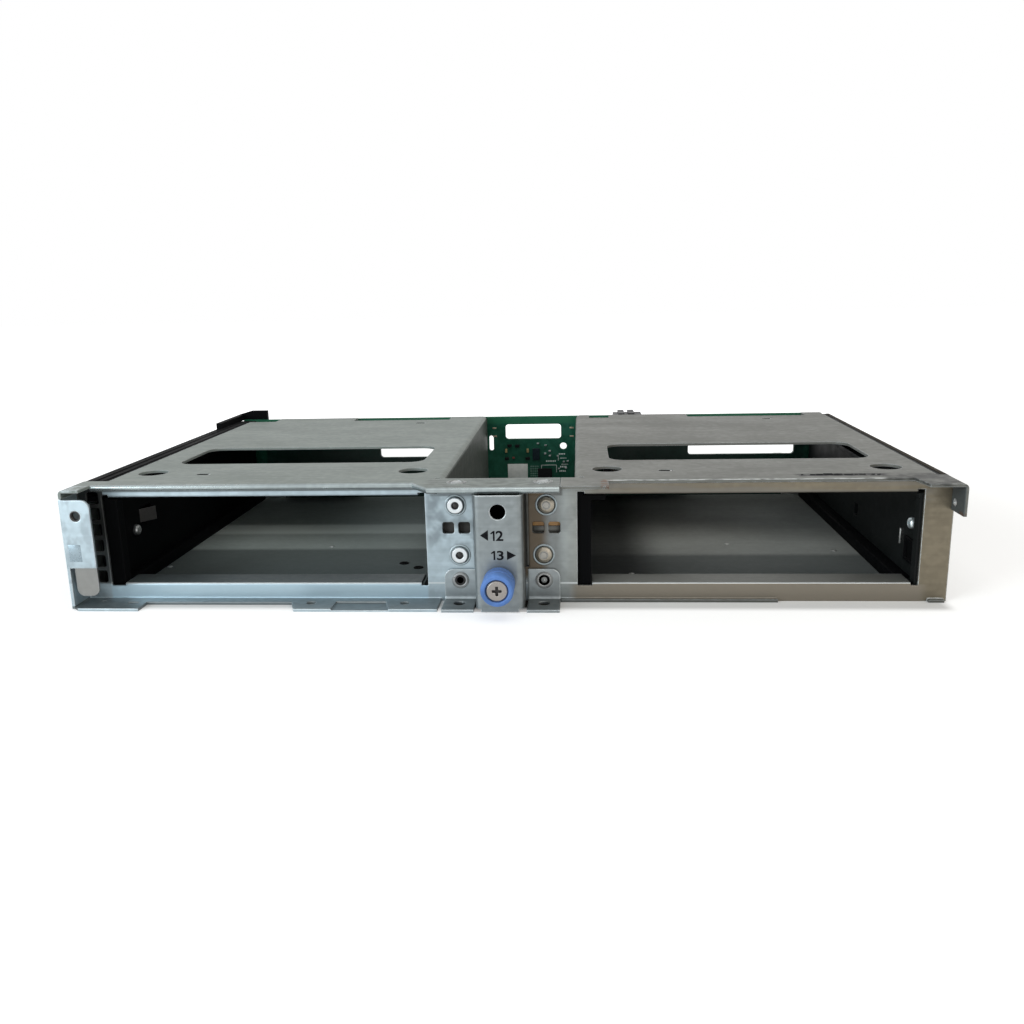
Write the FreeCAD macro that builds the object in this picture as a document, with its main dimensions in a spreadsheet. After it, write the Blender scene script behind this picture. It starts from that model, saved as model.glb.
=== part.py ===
import FreeCAD, Part
import math
import os
import types

import Sketcher

# Two-bay drive cage of folded sheet steel. X runs across the front, Y runs from the
# front to the back and Z is up. The floor's underside lies on Z = 0 and the middle of
# the floor is the origin. Sizes are in millimetres.

doc = FreeCAD.newDocument("DriveCage")
table = doc.addObject("Spreadsheet::Sheet", "Sizes")

sizes = {
    # Sheet steel
    "sheet": 1.0,
    "bend": 1.0,
    "edge_round": 0.8,
    # Whole cage
    "cage_width": 293.0,
    "floor_depth": 160.0,
    "cage_height": 41.7,
    "wall_drop": 4.7,
    # Drive bays
    "stile_width": 9.35,
    "centre_half": 25.45,
    "head_height": 4.8,
    "sill_height": 6.4,
    "sill_depth": 10.0,
    "lintel_depth": 5.0,
    "sill_notch": 4.9,
    "corner_notch": 2.3,
    # Clearances
    "seat_gap": 0.2,
    "hole_gap": 0.1,
    # Forward tabs of the front panel
    "tab_reach": 11.8,
    "lip_reach": 4.8,
    "right_lip": 1.6,
    "left_tab_width": 23.5,
    "tabs_left": 72.0,
    "tabs_right": 21.0,
    "right_lip_end": 91.8,
    "corner_foot": 6.0,
    "tab_window_left": 56.7,
    "tab_window_right": 39.5,
    "tab_web": 0.5,
    "tab_slant": 2.6,
    "tab_window_back": 3.9,
    "tab_hole_line": 5.6,
    "tab_hole_radius": 1.6,
    "outer_tab_hole": 65.0,
    "inner_tab_hole": 32.8,
    "pilot_radius": 0.9,
    "pilot_inset": 8.0,
    "pilot_line": 4.1,
    "tab_slot_inset": 18.0,
    "tab_slot_length": 2.2,
    # Left wing and ear
    "wing_reach": 10.7,
    "wing_drop": 3.1,
    "ear_width": 10.3,
    "ear_low": 14.9,
    "ear_drop": 3.3,
    "ear_corner": 3.2,
    "ear_hole_inset": 5.2,
    "ear_hole_drop": 8.8,
    "ear_hole_radius": 1.85,
    # Perforated left stile
    "vent_inset": 6.1,
    "vent_width": 4.2,
    "vent_height": 4.4,
    "vent_first": 8.7,
    "vent_last_drop": 5.0,
    "vent_count": 6,
    "vent_corner": 0.9,
    # Centre bracket
    "hat_half": 8.0,
    "hat_reach": 12.3,
    "hat_low": 1.2,
    "hat_drop": 2.3,
    "hat_flange": 12.0,
    "hat_flange_low": 12.2,
    "hat_tongue_half": 6.3,
    "hat_tongue_low": 0.2,
    "hat_hole_drop": 7.7,
    "hat_hole_radius": 2.55,
    # Square sight holes and rivets beside the bracket
    "sight_inner": 12.4,
    "sight_outer": 17.8,
    "sight_size": 4.0,
    "sight_height": 25.7,
    "rivet_high_offset": 15.2,
    "rivet_low_offset": 14.2,
    "rivet_drop": 8.2,
    "rivet_low": 16.3,
    "rivet_head_radius": 2.65,
    "rivet_head": 0.9,
    "rivet_radius": 1.75,
    "rivet_bore": 1.28,
    "rivet_tail_radius": 2.3,
    "rivet_tail": 0.6,
    # Feet of the centre bracket
    "foot_inner": 8.8,
    "foot_outer": 19.6,
    "foot_height": 11.5,
    "foot_reach": 12.3,
    "foot_corner": 3.0,
    "foot_hole_line": 5.6,
    "foot_hole_radius": 2.0,
    "nut_offset": 14.2,
    "nut_height": 7.7,
    "nut_radius": 2.5,
    "nut_bore": 1.85,
    "nut_proud": 0.3,
    "nut_flange_radius": 3.3,
    "nut_flange": 2.0,
    "pad_screw_sunk": 0.6,
    # Leaf behind the ear
    "leaf_thickness": 0.8,
    "leaf_inset": 2.1,
    "leaf_width": 7.7,
    "leaf_low": 4.8,
    "leaf_drop": 4.9,
    "leaf_corner": 2.6,
    # Captive thumbscrew
    "screw_height": 10.6,
    "knob_radius": 5.3,
    "knob_length": 9.7,
    "knob_edge": 0.7,
    "knob_recess": 1.1,
    "knob_recess_radius": 3.6,
    "knob_gap": 0.3,
    "screw_radius": 1.95,
    "screw_thread_radius": 1.75,
    "screw_head_radius": 3.3,
    "screw_head": 0.9,
    "screw_head_edge": 0.3,
    "screw_length": 17.2,
    "screw_point": 0.6,
    "screw_hole_radius": 2.4,
    "screw_travel": 2.8,
    "ring_radius": 3.4,
    "ring_width": 0.8,
    # Top covers
    "cover_setback": 0.6,
    "cover_reach": 10.3,
    "roll_reach": 2.1,
    "roll_drop": 2.0,
    "roll_round": 1.6,
    "left_cover_inset": 10.2,
    "left_cover_right": 19.5,
    "right_cover_left": 24.6,
    "right_cover_inset": 4.2,
    "notch_front": 4.8,
    "relief": 1.2,
    "relief_width": 3.0,
    "roll_inset": 7.0,
    "roll_right": 29.0,
    "tongue_left": 23.0,
    "tongue_right": 19.9,
    "right_tongue_reach": 9.5,
    "right_tongue_end": 35.6,
    "right_wing_width": 13.0,
    "right_wing_slant": 1.4,
    "right_ear_drop": 10.5,
    "right_ear_hole_line": 2.8,
    "right_ear_hole_drop": 7.6,
    "right_ear_hole_radius": 1.35,
    "slot_left_margin": 11.65,
    "slot_right_margin": 6.15,
    "slot_front": 35.8,
    "slot_back": 71.7,
    "slot_corner": 6.0,
    "grip_left_margin": 10.35,
    "grip_right_margin": 6.85,
    "grip_hole_line": 19.2,
    "grip_hole_radius": 5.2,
    "lance_front_offset": 25.6,
    "lance_front_line": 15.8,
    "lance_back_offset": 32.1,
    "lance_setback": 21.0,
    "lance_length": 2.6,
    "lance_radius": 1.2,
    "back_notch_deep": 10.2,
    "back_notch_shallow": 10.0,
    "back_notch_wide_left": 3.2,
    "back_notch_margin": 11.55,
    "right_notch_margin": 3.7,
    "small_notch_left": 31.0,
    "small_notch_right": 40.6,
    "back_notch_corner": 12.8,
    "cover_rivet_offset": 14.3,
    "cover_rivet_line": 1.6,
    "cover_rivet_radius": 1.1,
    "cover_rivet_head_radius": 2.2,
    "cover_rivet_head": 0.3,
    "cover_rivet_tail_radius": 1.4,
    "cover_rivet_tail": 0.4,
    "top_lug_reach": 4.2,
    "top_lug_inner": 9.4,
    "top_lug_outer": 19.2,
    # Moulded guides
    "plastic": 1.6,
    "guide_inset": 6.9,
    "guide_setback": 2.0,
    "guide_front": 1.2,
    "guide_ledge": 2.4,
    "guide_ledge_low": 3.2,
    "guide_ledge_drop": 6.9,
    "guide_top_drop": 0.7,
    "guide_post_depth": 4.0,
    "right_post_reach": 1.8,
    "guide_post_low": 5.6,
    "guide_post_drop": 5.7,
    "guide_rib": 1.2,
    "guide_rib_first": 42.0,
    "guide_rib_span": 90.0,
    "guide_rib_count": 6,
    "guide_window_front": 27.5,
    "guide_window_back": 37.0,
    "guide_window_low": 20.4,
    "guide_window_high": 26.6,
    "guide_slot_line": 75.7,
    "guide_slot_height": 13.3,
    "guide_slot_half": 2.4,
    "inner_fin": 7.6,
    "guide_screw_left_line": 23.1,
    "guide_screw_left_height": 19.6,
    "guide_screw_right_line": 10.9,
    "guide_screw_right_height": 23.9,
    "guide_screw_radius": 1.2,
    "guide_screw_head_radius": 2.0,
    "guide_screw_head": 1.8,
    "guide_boss_radius": 3.0,
    "hook_bar": 2.4,
    "hook_setback": 29.0,
    "hook_rib_height": 2.8,
    "hook_rise": 1.8,
    "hook_rise_span": 6.5,
    "hook_span": 14.6,
    "hook_arm": 4.6,
    "hook_tip": 3.5,
    "hook_tip_drop": 5.7,
    # Spring finger in the left guide's window
    "spring_thickness": 0.5,
    "spring_reach": 4.2,
    "spring_run": 6.9,
    "spring_low": 21.0,
    "spring_high": 26.0,
    # Connector board
    "board_left_inset": 3.0,
    "board_right_inset": 3.0,
    "board_low": 0.5,
    "board_drop": 0.4,
    "board_thickness": 1.6,
    "window_low": 21.4,
    "window_drop": 4.3,
    "window_corner": 1.5,
    "left_window_width": 42.0,
    "left_window_inset": 6.55,
    "right_window_width": 51.3,
    "right_window_inset": 15.4,
    "middle_window_left": 10.4,
    "middle_window_right": 17.2,
    "middle_window_height": 7.3,
    "board_hole_x": 18.3,
    "board_hole_height": 26.3,
    "board_hole_radius": 1.7,
    "board_slot_x": 17.6,
    "board_slot_low": 25.4,
    "board_slot_high": 30.8,
    "board_slot_radius": 1.1,
    "lug_width": 12.0,
    "lug_height": 10.0,
    "lug_hole_height": 6.2,
    "lug_left_inset": 15.5,
    "lug_near_left": 36.0,
    "lug_near_right": 32.0,
    "lug_right_inset": 14.5,
    "board_screw_radius": 1.5,
    "board_screw_head_radius": 2.8,
    "board_screw_head": 1.8,
    "board_screw_length": 5.0,
    # Connectors and chip
    "socket_offset": 22.1,
    "socket_length": 42.0,
    "socket_low": 10.4,
    "socket_high": 18.4,
    "socket_depth": 8.0,
    "socket_wall": 1.8,
    "socket_bar": 1.6,
    "socket_cavity": 5.5,
    "power_left": 70.0,
    "power_right": 46.0,
    "power_low": 8.0,
    "power_high": 18.0,
    "power_depth": 10.5,
    "power_cell": 3.9,
    "power_span": 16.8,
    "power_count": 4,
    "power_cell_depth": 8.5,
    "signal_left": 43.2,
    "signal_right": 57.2,
    "signal_height": 13.9,
    "signal_drop": 0.8,
    "signal_depth": 14.0,
    "signal_wall": 1.6,
    "signal_cavity": 10.0,
    "signal_key_width": 3.0,
    "signal_key_gap": 1.9,
    "signal_key_inset": 2.4,
    "signal_key_height": 1.1,
    "chip_left": 5.5,
    "chip_width": 7.0,
    "chip_low": 8.5,
    "chip_height": 6.5,
    "chip_thickness": 1.2,
}

for row, (name, value) in enumerate(sizes.items(), start=1):
    table.set("A%d" % row, name)
    table.set("B%d" % row, str(value))
    table.setAlias("B%d" % row, name)
doc.recompute()


class Size:
    """A length: its value now, and the sheet expression that drives it."""

    def __init__(self, value, text):
        self.value = value
        self.text = text

    def __add__(self, other):
        other = as_size(other)
        return Size(self.value + other.value, "(%s + %s)" % (self.text, other.text))

    def __sub__(self, other):
        other = as_size(other)
        return Size(self.value - other.value, "(%s - %s)" % (self.text, other.text))

    def __mul__(self, factor):
        return Size(self.value * factor, "(%s * %s)" % (self.text, factor))

    def __truediv__(self, divisor):
        return Size(self.value / divisor, "(%s / %s)" % (self.text, divisor))

    def __neg__(self):
        return Size(-self.value, "(-1 * %s)" % self.text)


def as_size(thing):
    if isinstance(thing, Size):
        return thing
    return Size(float(thing), str(float(thing)))


S = types.SimpleNamespace(**{name: Size(value, "Sizes." + name) for name, value in sizes.items()})

# Lines and planes that several pieces share
half_width = S.cage_width / 2
front = -S.floor_depth / 2
cover_low = S.cage_height - S.sheet
board_back = S.floor_depth + S.board_thickness

# Bays between the stiles and the centre
bay_width = half_width - S.stile_width - S.centre_half
half_bay = bay_width / 2
bay_offset = S.centre_half + half_bay
bay_top = S.cage_height - S.head_height
bays = [-bay_offset, bay_offset]

# Heights below the top of the cage
wall_height = S.cage_height - S.wall_drop
wing_height = S.cage_height - S.wing_drop
ear_high = S.cage_height - S.ear_drop
ear_hole_height = S.cage_height - S.ear_hole_drop
hat_high = S.cage_height - S.hat_drop
rivet_high = S.cage_height - S.rivet_drop
guide_top = S.cage_height - S.guide_top_drop
ledge_high = S.cage_height - S.guide_ledge_drop
post_high = S.cage_height - S.guide_post_drop
window_high = S.cage_height - S.window_drop
signal_high = S.cage_height - S.signal_drop

# Lines before the back of the floor and in from the sides
cover_back = S.floor_depth - S.cover_setback
guide_back = S.floor_depth - S.guide_setback
left_cover_left = half_width - S.left_cover_inset
right_cover_right = half_width - S.right_cover_inset
roll_left = half_width - S.roll_inset

rivet_places = [
    (-S.rivet_low_offset, S.rivet_low), (-S.rivet_high_offset, rivet_high),
    (S.rivet_low_offset, S.rivet_low), (S.rivet_high_offset, rivet_high),
]
cover_rivet_places = [-S.cover_rivet_offset, S.cover_rivet_offset]
nut_places = [-S.nut_offset, S.nut_offset]
lug_places = [
    S.lug_left_inset - half_width, -S.lug_near_left, S.lug_near_right, half_width - S.lug_right_inset,
]

PLANES = {"XY": "XY_Plane", "XZ": "XZ_Plane", "YZ": "YZ_Plane"}
sub_parts = []


def vector(*values):
    return FreeCAD.Vector(*[as_size(value).value for value in values])


def hold(sketch, kind, geometry, point, size):
    """Tie one coordinate of a sketch point to its size."""
    size = as_size(size)
    index = sketch.addConstraint(Sketcher.Constraint(kind, geometry, point, size.value))
    sketch.setExpression("Constraints[%d]" % index, size.text)


def hold_radius(sketch, geometry, radius):
    index = sketch.addConstraint(Sketcher.Constraint("Radius", geometry, radius.value))
    sketch.setExpression("Constraints[%d]" % index, radius.text)


def outline(*points):
    """Closed straight-sided outline through the points."""

    def draw(sketch):
        first = sketch.GeometryCount
        count = len(points)
        for i, (x, y) in enumerate(points):
            after = points[(i + 1) % count]
            line = Part.LineSegment(vector(x, y, 0), vector(after[0], after[1], 0))
            sketch.addGeometry(line, False)
        for i in range(count):
            following = first + (i + 1) % count
            sketch.addConstraint(Sketcher.Constraint("Coincident", first + i, 2, following, 1))
        for i, (x, y) in enumerate(points):
            hold(sketch, "DistanceX", first + i, 1, x)
            hold(sketch, "DistanceY", first + i, 1, y)

    return draw


def rectangle(left, right, low, high):
    return outline((left, low), (right, low), (right, high), (left, high))


def disc(x, y, radius):
    def draw(sketch):
        circle = Part.Circle(vector(x, y, 0), FreeCAD.Vector(0, 0, 1), radius.value)
        geometry = sketch.addGeometry(circle, False)
        hold(sketch, "DistanceX", geometry, 3, x)
        hold(sketch, "DistanceY", geometry, 3, y)
        hold_radius(sketch, geometry, radius)

    return draw


def arc_about(x, y, radius, span):
    """Arc counter-clockwise over the span, which is given in turns."""
    circle = Part.Circle(vector(x, y, 0), FreeCAD.Vector(0, 0, 1), radius.value)
    return Part.ArcOfCircle(circle, span[0] * 2 * math.pi, span[1] * 2 * math.pi)


def oblong(left, right, low, high, radius):
    """Slot with half-round ends; it lies along X, or along Y where left equals right."""
    upright = left is right
    ends = [(left, low), (left, high)] if upright else [(left, low), (right, low)]

    def draw(sketch):
        (x0, y0), (x1, y1) = ends
        first = sketch.GeometryCount
        if upright:
            spans = [(0.5, 1.0), (0.0, 0.5)]
            there = (vector(x0 + radius, y0, 0), vector(x1 + radius, y1, 0))
            back = (vector(x1 - radius, y1, 0), vector(x0 - radius, y0, 0))
        else:
            spans = [(0.25, 0.75), (-0.25, 0.25)]
            there = (vector(x0, y0 - radius, 0), vector(x1, y1 - radius, 0))
            back = (vector(x1, y1 + radius, 0), vector(x0, y0 + radius, 0))
        sketch.addGeometry(arc_about(x0, y0, radius, spans[0]), False)
        sketch.addGeometry(Part.LineSegment(*there), False)
        sketch.addGeometry(arc_about(x1, y1, radius, spans[1]), False)
        sketch.addGeometry(Part.LineSegment(*back), False)
        for i in range(4):
            following = first + (i + 1) % 4
            sketch.addConstraint(Sketcher.Constraint("Tangent", first + i, 2, following, 1))
        sketch.addConstraint(Sketcher.Constraint("Equal", first, first + 2))
        hold_radius(sketch, first, radius)
        for arc, (x, y) in ((first, ends[0]), (first + 2, ends[1])):
            hold(sketch, "DistanceX", arc, 3, x)
            hold(sketch, "DistanceY", arc, 3, y)

    return draw


def rounded(left, right, low, high, radius):
    """Rectangle with round corners."""

    def draw(sketch):
        first = sketch.GeometryCount
        corners = [
            (right - radius, low + radius, (-0.25, 0.0)),
            (right - radius, high - radius, (0.0, 0.25)),
            (left + radius, high - radius, (0.25, 0.5)),
            (left + radius, low + radius, (0.5, 0.75)),
        ]
        sides = [
            ((left + radius, low), (right - radius, low), "Horizontal"),
            ((right, low + radius), (right, high - radius), "Vertical"),
            ((right - radius, high), (left + radius, high), "Horizontal"),
            ((left, high - radius), (left, low + radius), "Vertical"),
        ]
        for side, corner in zip(sides, corners):
            sketch.addGeometry(Part.LineSegment(vector(*side[0], 0), vector(*side[1], 0)), False)
            sketch.addGeometry(arc_about(corner[0], corner[1], radius, corner[2]), False)
        for i in range(8):
            sketch.addConstraint(Sketcher.Constraint("Tangent", first + i, 2, first + (i + 1) % 8, 1))
        for i, side in enumerate(sides):
            sketch.addConstraint(Sketcher.Constraint(side[2], first + 2 * i))
        for i in range(1, 4):
            sketch.addConstraint(Sketcher.Constraint("Equal", first + 1, first + 1 + 2 * i))
        hold_radius(sketch, first + 1, radius)
        hold(sketch, "DistanceY", first, 1, low)
        hold(sketch, "DistanceX", first + 2, 1, right)
        hold(sketch, "DistanceY", first + 4, 1, high)
        hold(sketch, "DistanceX", first + 6, 1, left)

    return draw


def beside(side, inner, outer):
    """Left and right limits of a span that lies from inner to outer on one side of the middle."""
    return (inner, outer) if side > 0 else (-outer, -inner)


def new_body(label):
    body = doc.addObject("PartDesign::Body", label)
    body.Label = label
    return body


def new_sketch(body, name, plane, start, shapes):
    """Sketch on one of the body's own planes, moved to start along the plane's axis."""
    sketch = body.newObject("Sketcher::SketchObject", name)
    support = [item for item in body.Origin.OriginFeatures if item.Role == PLANES[plane]][0]
    sketch.AttachmentSupport = [(support, "")]
    sketch.MapMode = "FlatFace"
    start = as_size(start)
    offset = -start if plane == "XZ" else start
    sketch.setExpression(".AttachmentOffset.Base.z", offset.text)
    for draw in shapes:
        draw(sketch)
    return sketch


def pad(body, name, plane, start, depth, *shapes):
    """Add material from start along the plane's positive axis."""
    sketch = new_sketch(body, name + "_sketch", plane, start, shapes)
    feature = body.newObject("PartDesign::Pad", name)
    feature.Profile = sketch
    feature.setExpression("Length", depth.text)
    feature.Reversed = plane == "XZ"
    body.Tip = feature
    doc.recompute()
    return feature


def pocket(body, name, plane, start, depth, *shapes):
    """Cut from start along the plane's positive axis, and see that something was cut."""
    before = body.Shape.Volume
    sketch = new_sketch(body, name + "_sketch", plane, start, shapes)
    feature = body.newObject("PartDesign::Pocket", name)
    feature.Profile = sketch
    feature.setExpression("Length", depth.text)
    feature.Reversed = plane != "XZ"
    body.Tip = feature
    doc.recompute()
    if body.Shape.Volume > before * (1 - 1e-9):
        raise RuntimeError("%s cuts nothing" % name)
    return feature


def row_of(body, name, feature, axis, span, count):
    """Repeat a feature over a span along an axis of its own sketch."""
    pattern = body.newObject("PartDesign::LinearPattern", name)
    pattern.Originals = [feature]
    pattern.Direction = (feature.Profile[0], [axis])
    pattern.setExpression("Length", span.text)
    pattern.Occurrences = int(count.value)
    body.Tip = pattern
    doc.recompute()
    return pattern


def fillet(body, name, radius, *points):
    """Round the edges that pass through the points."""
    doc.recompute()
    base = body.Tip
    picks = [Part.Vertex(vector(*point)) for point in points]
    names = []
    for i, edge in enumerate(base.Shape.Edges):
        if any(edge.distToShape(pick)[0] < 1e-5 for pick in picks):
            names.append("Edge%d" % (i + 1))
    if len(names) != len(points):
        raise RuntimeError("%s finds %d edges for %d points" % (name, len(names), len(points)))
    feature = body.newObject("PartDesign::Fillet", name)
    feature.Base = (base, names)
    feature.setExpression("Radius", radius.text)
    body.Tip = feature
    doc.recompute()
    if "Invalid" in feature.State:
        raise RuntimeError("%s can't be rounded" % name)


def finish(part, label, x=0.0, z=0.0):
    """Name a sub-part and set it in the cage's frame."""
    part.Label = label
    part.setExpression(".Placement.Base.x", as_size(x).text)
    part.setExpression(".Placement.Base.y", front.text)
    part.setExpression(".Placement.Base.z", as_size(z).text)
    sub_parts.append(part)


def turned(name, axis, *profile):
    """Body of revolution about a line along the axis; profile points are (radius, place along it)."""
    body = new_body(name)
    if axis == "X":
        points = [(place, radius) for radius, place in profile]
        sketch = new_sketch(body, name + "_profile", "XY", 0.0, [outline(*points)])
        line = "H_Axis"
    else:
        plane = "XY" if axis == "Y" else "XZ"
        sketch = new_sketch(body, name + "_profile", plane, 0.0, [outline(*profile)])
        line = "V_Axis"
    feature = body.newObject("PartDesign::Revolution", name + "_turn")
    feature.Profile = sketch
    feature.ReferenceAxis = (sketch, [line])
    feature.Angle = 360.0
    body.Tip = feature
    doc.recompute()
    return body


def move(part, x=0.0, y=0.0, z=0.0):
    for letter, place in (("x", x), ("y", y), ("z", z)):
        part.setExpression(".Placement.Base." + letter, as_size(place).text)


def group(label, parts):
    """Identical fasteners kept together as one named sub-part."""
    compound = doc.addObject("Part::Compound", label)
    compound.Links = parts
    finish(compound, label)


def sight_holes():
    """Square sight holes on both sides of the centre bracket."""
    half = S.sight_size / 2
    low = S.sight_height - half
    high = S.sight_height + half
    places = [side for place in (S.sight_inner, S.sight_outer) for side in (-place, place)]
    return [rounded(x - half, x + half, low, high, S.edge_round) for x in places]


def tray():
    """Floor and side walls folded from one sheet, with rear lugs for the board."""
    body = new_body("tray")
    inner = half_width - S.sheet
    pad(
        body, "tray_fold", "XZ", S.sheet, S.floor_depth - S.sheet,
        outline(
            (-half_width, 0), (half_width, 0), (half_width, wall_height), (inner, wall_height),
            (inner, S.sheet), (-inner, S.sheet), (-inner, wall_height), (-half_width, wall_height),
        ),
    )
    middle = S.floor_depth / 2
    fillet(body, "tray_outer_bend", S.bend + S.sheet, (-half_width, middle, 0), (half_width, middle, 0))
    fillet(body, "tray_inner_bend", S.bend, (-inner, middle, S.sheet), (inner, middle, S.sheet))
    lug_front = S.floor_depth - S.sheet
    half_lug = S.lug_width / 2
    pad(
        body, "tray_lugs", "XZ", lug_front, S.sheet,
        *[rectangle(x - half_lug, x + half_lug, S.sheet / 2, S.lug_height) for x in lug_places]
    )
    pocket(
        body, "tray_lug_holes", "XZ", lug_front, S.sheet,
        *[disc(x, S.lug_hole_height, S.board_screw_radius + S.hole_gap) for x in lug_places]
    )
    hole = S.guide_screw_radius + S.hole_gap
    pocket(
        body, "left_wall_hole", "YZ", -half_width, S.sheet,
        disc(S.guide_screw_left_line, S.guide_screw_left_height, hole),
    )
    pocket(
        body, "right_wall_hole", "YZ", inner, S.sheet,
        disc(S.guide_screw_right_line, S.guide_screw_right_height, hole),
    )
    finish(body, "tray")


def front_panel():
    """Front with two bay openings, forward tabs, the perforated stile and the left ear."""
    body = new_body("front_panel")
    pad(body, "panel_face", "XZ", 0.0, S.sheet, rectangle(-half_width, half_width, 0.0, cover_low))
    pocket(
        body, "bay_openings", "XZ", 0.0, S.sheet,
        *[rectangle(x - half_bay, x + half_bay, S.sill_height - S.sheet, bay_top + S.sheet) for x in bays]
    )
    sills = [(x - half_bay + S.sill_notch, x + half_bay - S.corner_notch) for x in bays]
    lintels = [(x - half_bay + S.corner_notch, x + half_bay - S.corner_notch) for x in bays]
    pad(
        body, "bay_sills", "XZ", 0.0, S.sill_depth,
        *[rectangle(left, right, S.sill_height - S.sheet, S.sill_height) for left, right in sills]
    )
    pad(
        body, "bay_lintels", "XZ", 0.0, S.lintel_depth,
        *[rectangle(left, right, bay_top, bay_top + S.sheet) for left, right in lintels]
    )
    fillet(
        body, "bay_edge_rounds", S.edge_round,
        *[(x, 0.0, S.sill_height) for x in bays], *[(x, 0.0, bay_top) for x in bays]
    )
    pocket(
        body, "bracket_window_and_corner", "XZ", 0.0, S.sheet,
        rectangle(
            -S.hat_half - S.bend - S.seat_gap, S.hat_half + S.bend + S.seat_gap,
            S.hat_flange_low - S.seat_gap, hat_high + S.seat_gap,
        ),
        rectangle(-half_width, S.sheet + S.seat_gap - half_width, wing_height, cover_low),
    )
    pad(
        body, "forward_tabs", "XY", 0.0, S.sheet,
        outline(
            (-half_width, 0), (-half_width, S.tab_slant - S.tab_reach),
            (-half_width + S.tab_slant, -S.tab_reach),
            (-half_width + S.left_tab_width, -S.tab_reach), (-half_width + S.left_tab_width, -S.lip_reach),
            (-S.tabs_left, -S.lip_reach), (S.tab_slant - S.tabs_left, -S.tab_reach),
            (-S.tabs_right, -S.tab_reach), (-S.tabs_right, 0),
        ),
        rectangle(S.foot_outer + S.seat_gap, S.right_lip_end, -S.right_lip, 0.0),
        rectangle(half_width - S.corner_foot, half_width - S.sheet, -S.right_lip, 0.0),
    )
    pad(
        body, "left_wing", "YZ", -half_width, S.sheet,
        rectangle(-S.wing_reach, 0.0, S.sheet / 2, wing_height),
    )
    ear_edge = S.ear_width - half_width
    pad(
        body, "left_ear", "XZ", -S.wing_reach, S.sheet,
        rectangle(-half_width, ear_edge, S.ear_low, ear_high),
    )
    fillet(body, "ear_corner_round", S.ear_corner, (ear_edge, S.sheet / 2 - S.wing_reach, ear_high))
    lugs = [beside(side, S.top_lug_inner, S.top_lug_outer) for side in (-1, 1)]
    pad(
        body, "top_lugs", "XY", cover_low - S.sheet, S.sheet,
        *[rectangle(left, right, -S.top_lug_reach, 0.0) for left, right in lugs]
    )
    pocket(
        body, "top_lug_holes", "XY", cover_low - S.sheet, S.sheet,
        *[disc(x, -S.cover_rivet_line, S.cover_rivet_radius + S.hole_gap) for x in cover_rivet_places]
    )
    pocket(
        body, "tab_step", "XY", S.tab_web, S.sheet - S.tab_web,
        outline(
            (-S.tab_window_left, -S.tab_window_back), (-S.tab_window_left, -S.tab_reach - S.sheet),
            (S.tab_slant - S.tab_window_right, -S.tab_reach - S.sheet),
            (-S.tab_window_right, -S.tab_window_back),
        ),
    )
    pocket(
        body, "tab_cuts", "XY", 0.0, S.sheet,
        disc(-S.outer_tab_hole, -S.tab_hole_line, S.tab_hole_radius),
        disc(-S.inner_tab_hole, -S.tab_hole_line, S.tab_hole_radius),
        disc(S.pilot_inset - half_width, -S.pilot_line, S.pilot_radius),
        oblong(
            S.tab_slot_inset - half_width, S.tab_slot_inset + S.tab_slot_length - half_width,
            -S.tab_hole_line, -S.tab_hole_line, S.pilot_radius,
        ),
    )
    pocket(
        body, "ear_hole", "XZ", -S.wing_reach, S.sheet,
        disc(S.ear_hole_inset - half_width, ear_hole_height, S.ear_hole_radius),
    )
    vent_middle = S.vent_inset - half_width
    vent = pocket(
        body, "stile_vent", "XZ", 0.0, S.sheet,
        rounded(
            vent_middle - S.vent_width / 2, vent_middle + S.vent_width / 2,
            S.vent_first - S.vent_height / 2, S.vent_first + S.vent_height / 2, S.vent_corner,
        ),
    )
    vent_last = S.cage_height - S.vent_last_drop
    row_of(body, "stile_vents", vent, "V_Axis", vent_last - S.vent_first, S.vent_count)
    pocket(body, "panel_sight_holes", "XZ", 0.0, S.sheet, *sight_holes())
    pocket(
        body, "panel_rivet_holes", "XZ", 0.0, S.sheet,
        *[disc(x, z, S.rivet_radius + S.hole_gap) for x, z in rivet_places]
    )
    pocket(
        body, "panel_nut_holes", "XZ", 0.0, S.sheet,
        *[disc(x, S.nut_height, S.nut_radius + S.hole_gap) for x in nut_places]
    )
    finish(body, "front_panel")


def channel_wall(body, name, face, step):
    """Wall folded down from a cover's inner edge to the floor, with its bend and bend relief."""
    low = face - S.sheet if step > 0 else face
    relief_low = face - S.relief_width if step > 0 else face - S.seat_gap
    relief_high = face + S.seat_gap if step > 0 else face + S.relief_width
    wall_front = S.notch_front + S.relief
    pocket(
        body, name + "_relief", "XY", cover_low, S.sheet,
        rectangle(relief_low, relief_high, S.notch_front, wall_front),
    )
    pad(
        body, name, "YZ", low, S.sheet,
        rectangle(wall_front, cover_back, S.sheet, cover_low),
    )
    middle = cover_back / 2
    inside = face - S.sheet if step > 0 else face + S.sheet
    fillet(body, name + "_outer_bend", S.bend + S.sheet, (face, middle, S.cage_height))
    fillet(body, name + "_inner_bend", S.bend, (inside, middle, cover_low))


def cover_cuts(body, name, bay, notch_margin):
    """Air slot, grip holes and lanced slots, the same over each bay, and the rear notch."""
    pocket(
        body, name, "XY", cover_low, S.sheet,
        rounded(
            bay - half_bay + S.slot_left_margin, bay + half_bay - S.slot_right_margin,
            S.slot_front, S.slot_back, S.slot_corner,
        ),
        disc(bay - half_bay + S.grip_left_margin, S.grip_hole_line, S.grip_hole_radius),
        disc(bay + half_bay - S.grip_right_margin, S.grip_hole_line, S.grip_hole_radius),
        lance(bay - S.lance_front_offset, S.lance_front_line),
        lance(bay + S.lance_back_offset, S.floor_depth - S.lance_setback),
        rectangle(
            bay - S.back_notch_wide_left, bay + half_bay - notch_margin,
            cover_back - S.back_notch_shallow, cover_back + S.sheet,
        ),
    )


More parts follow.
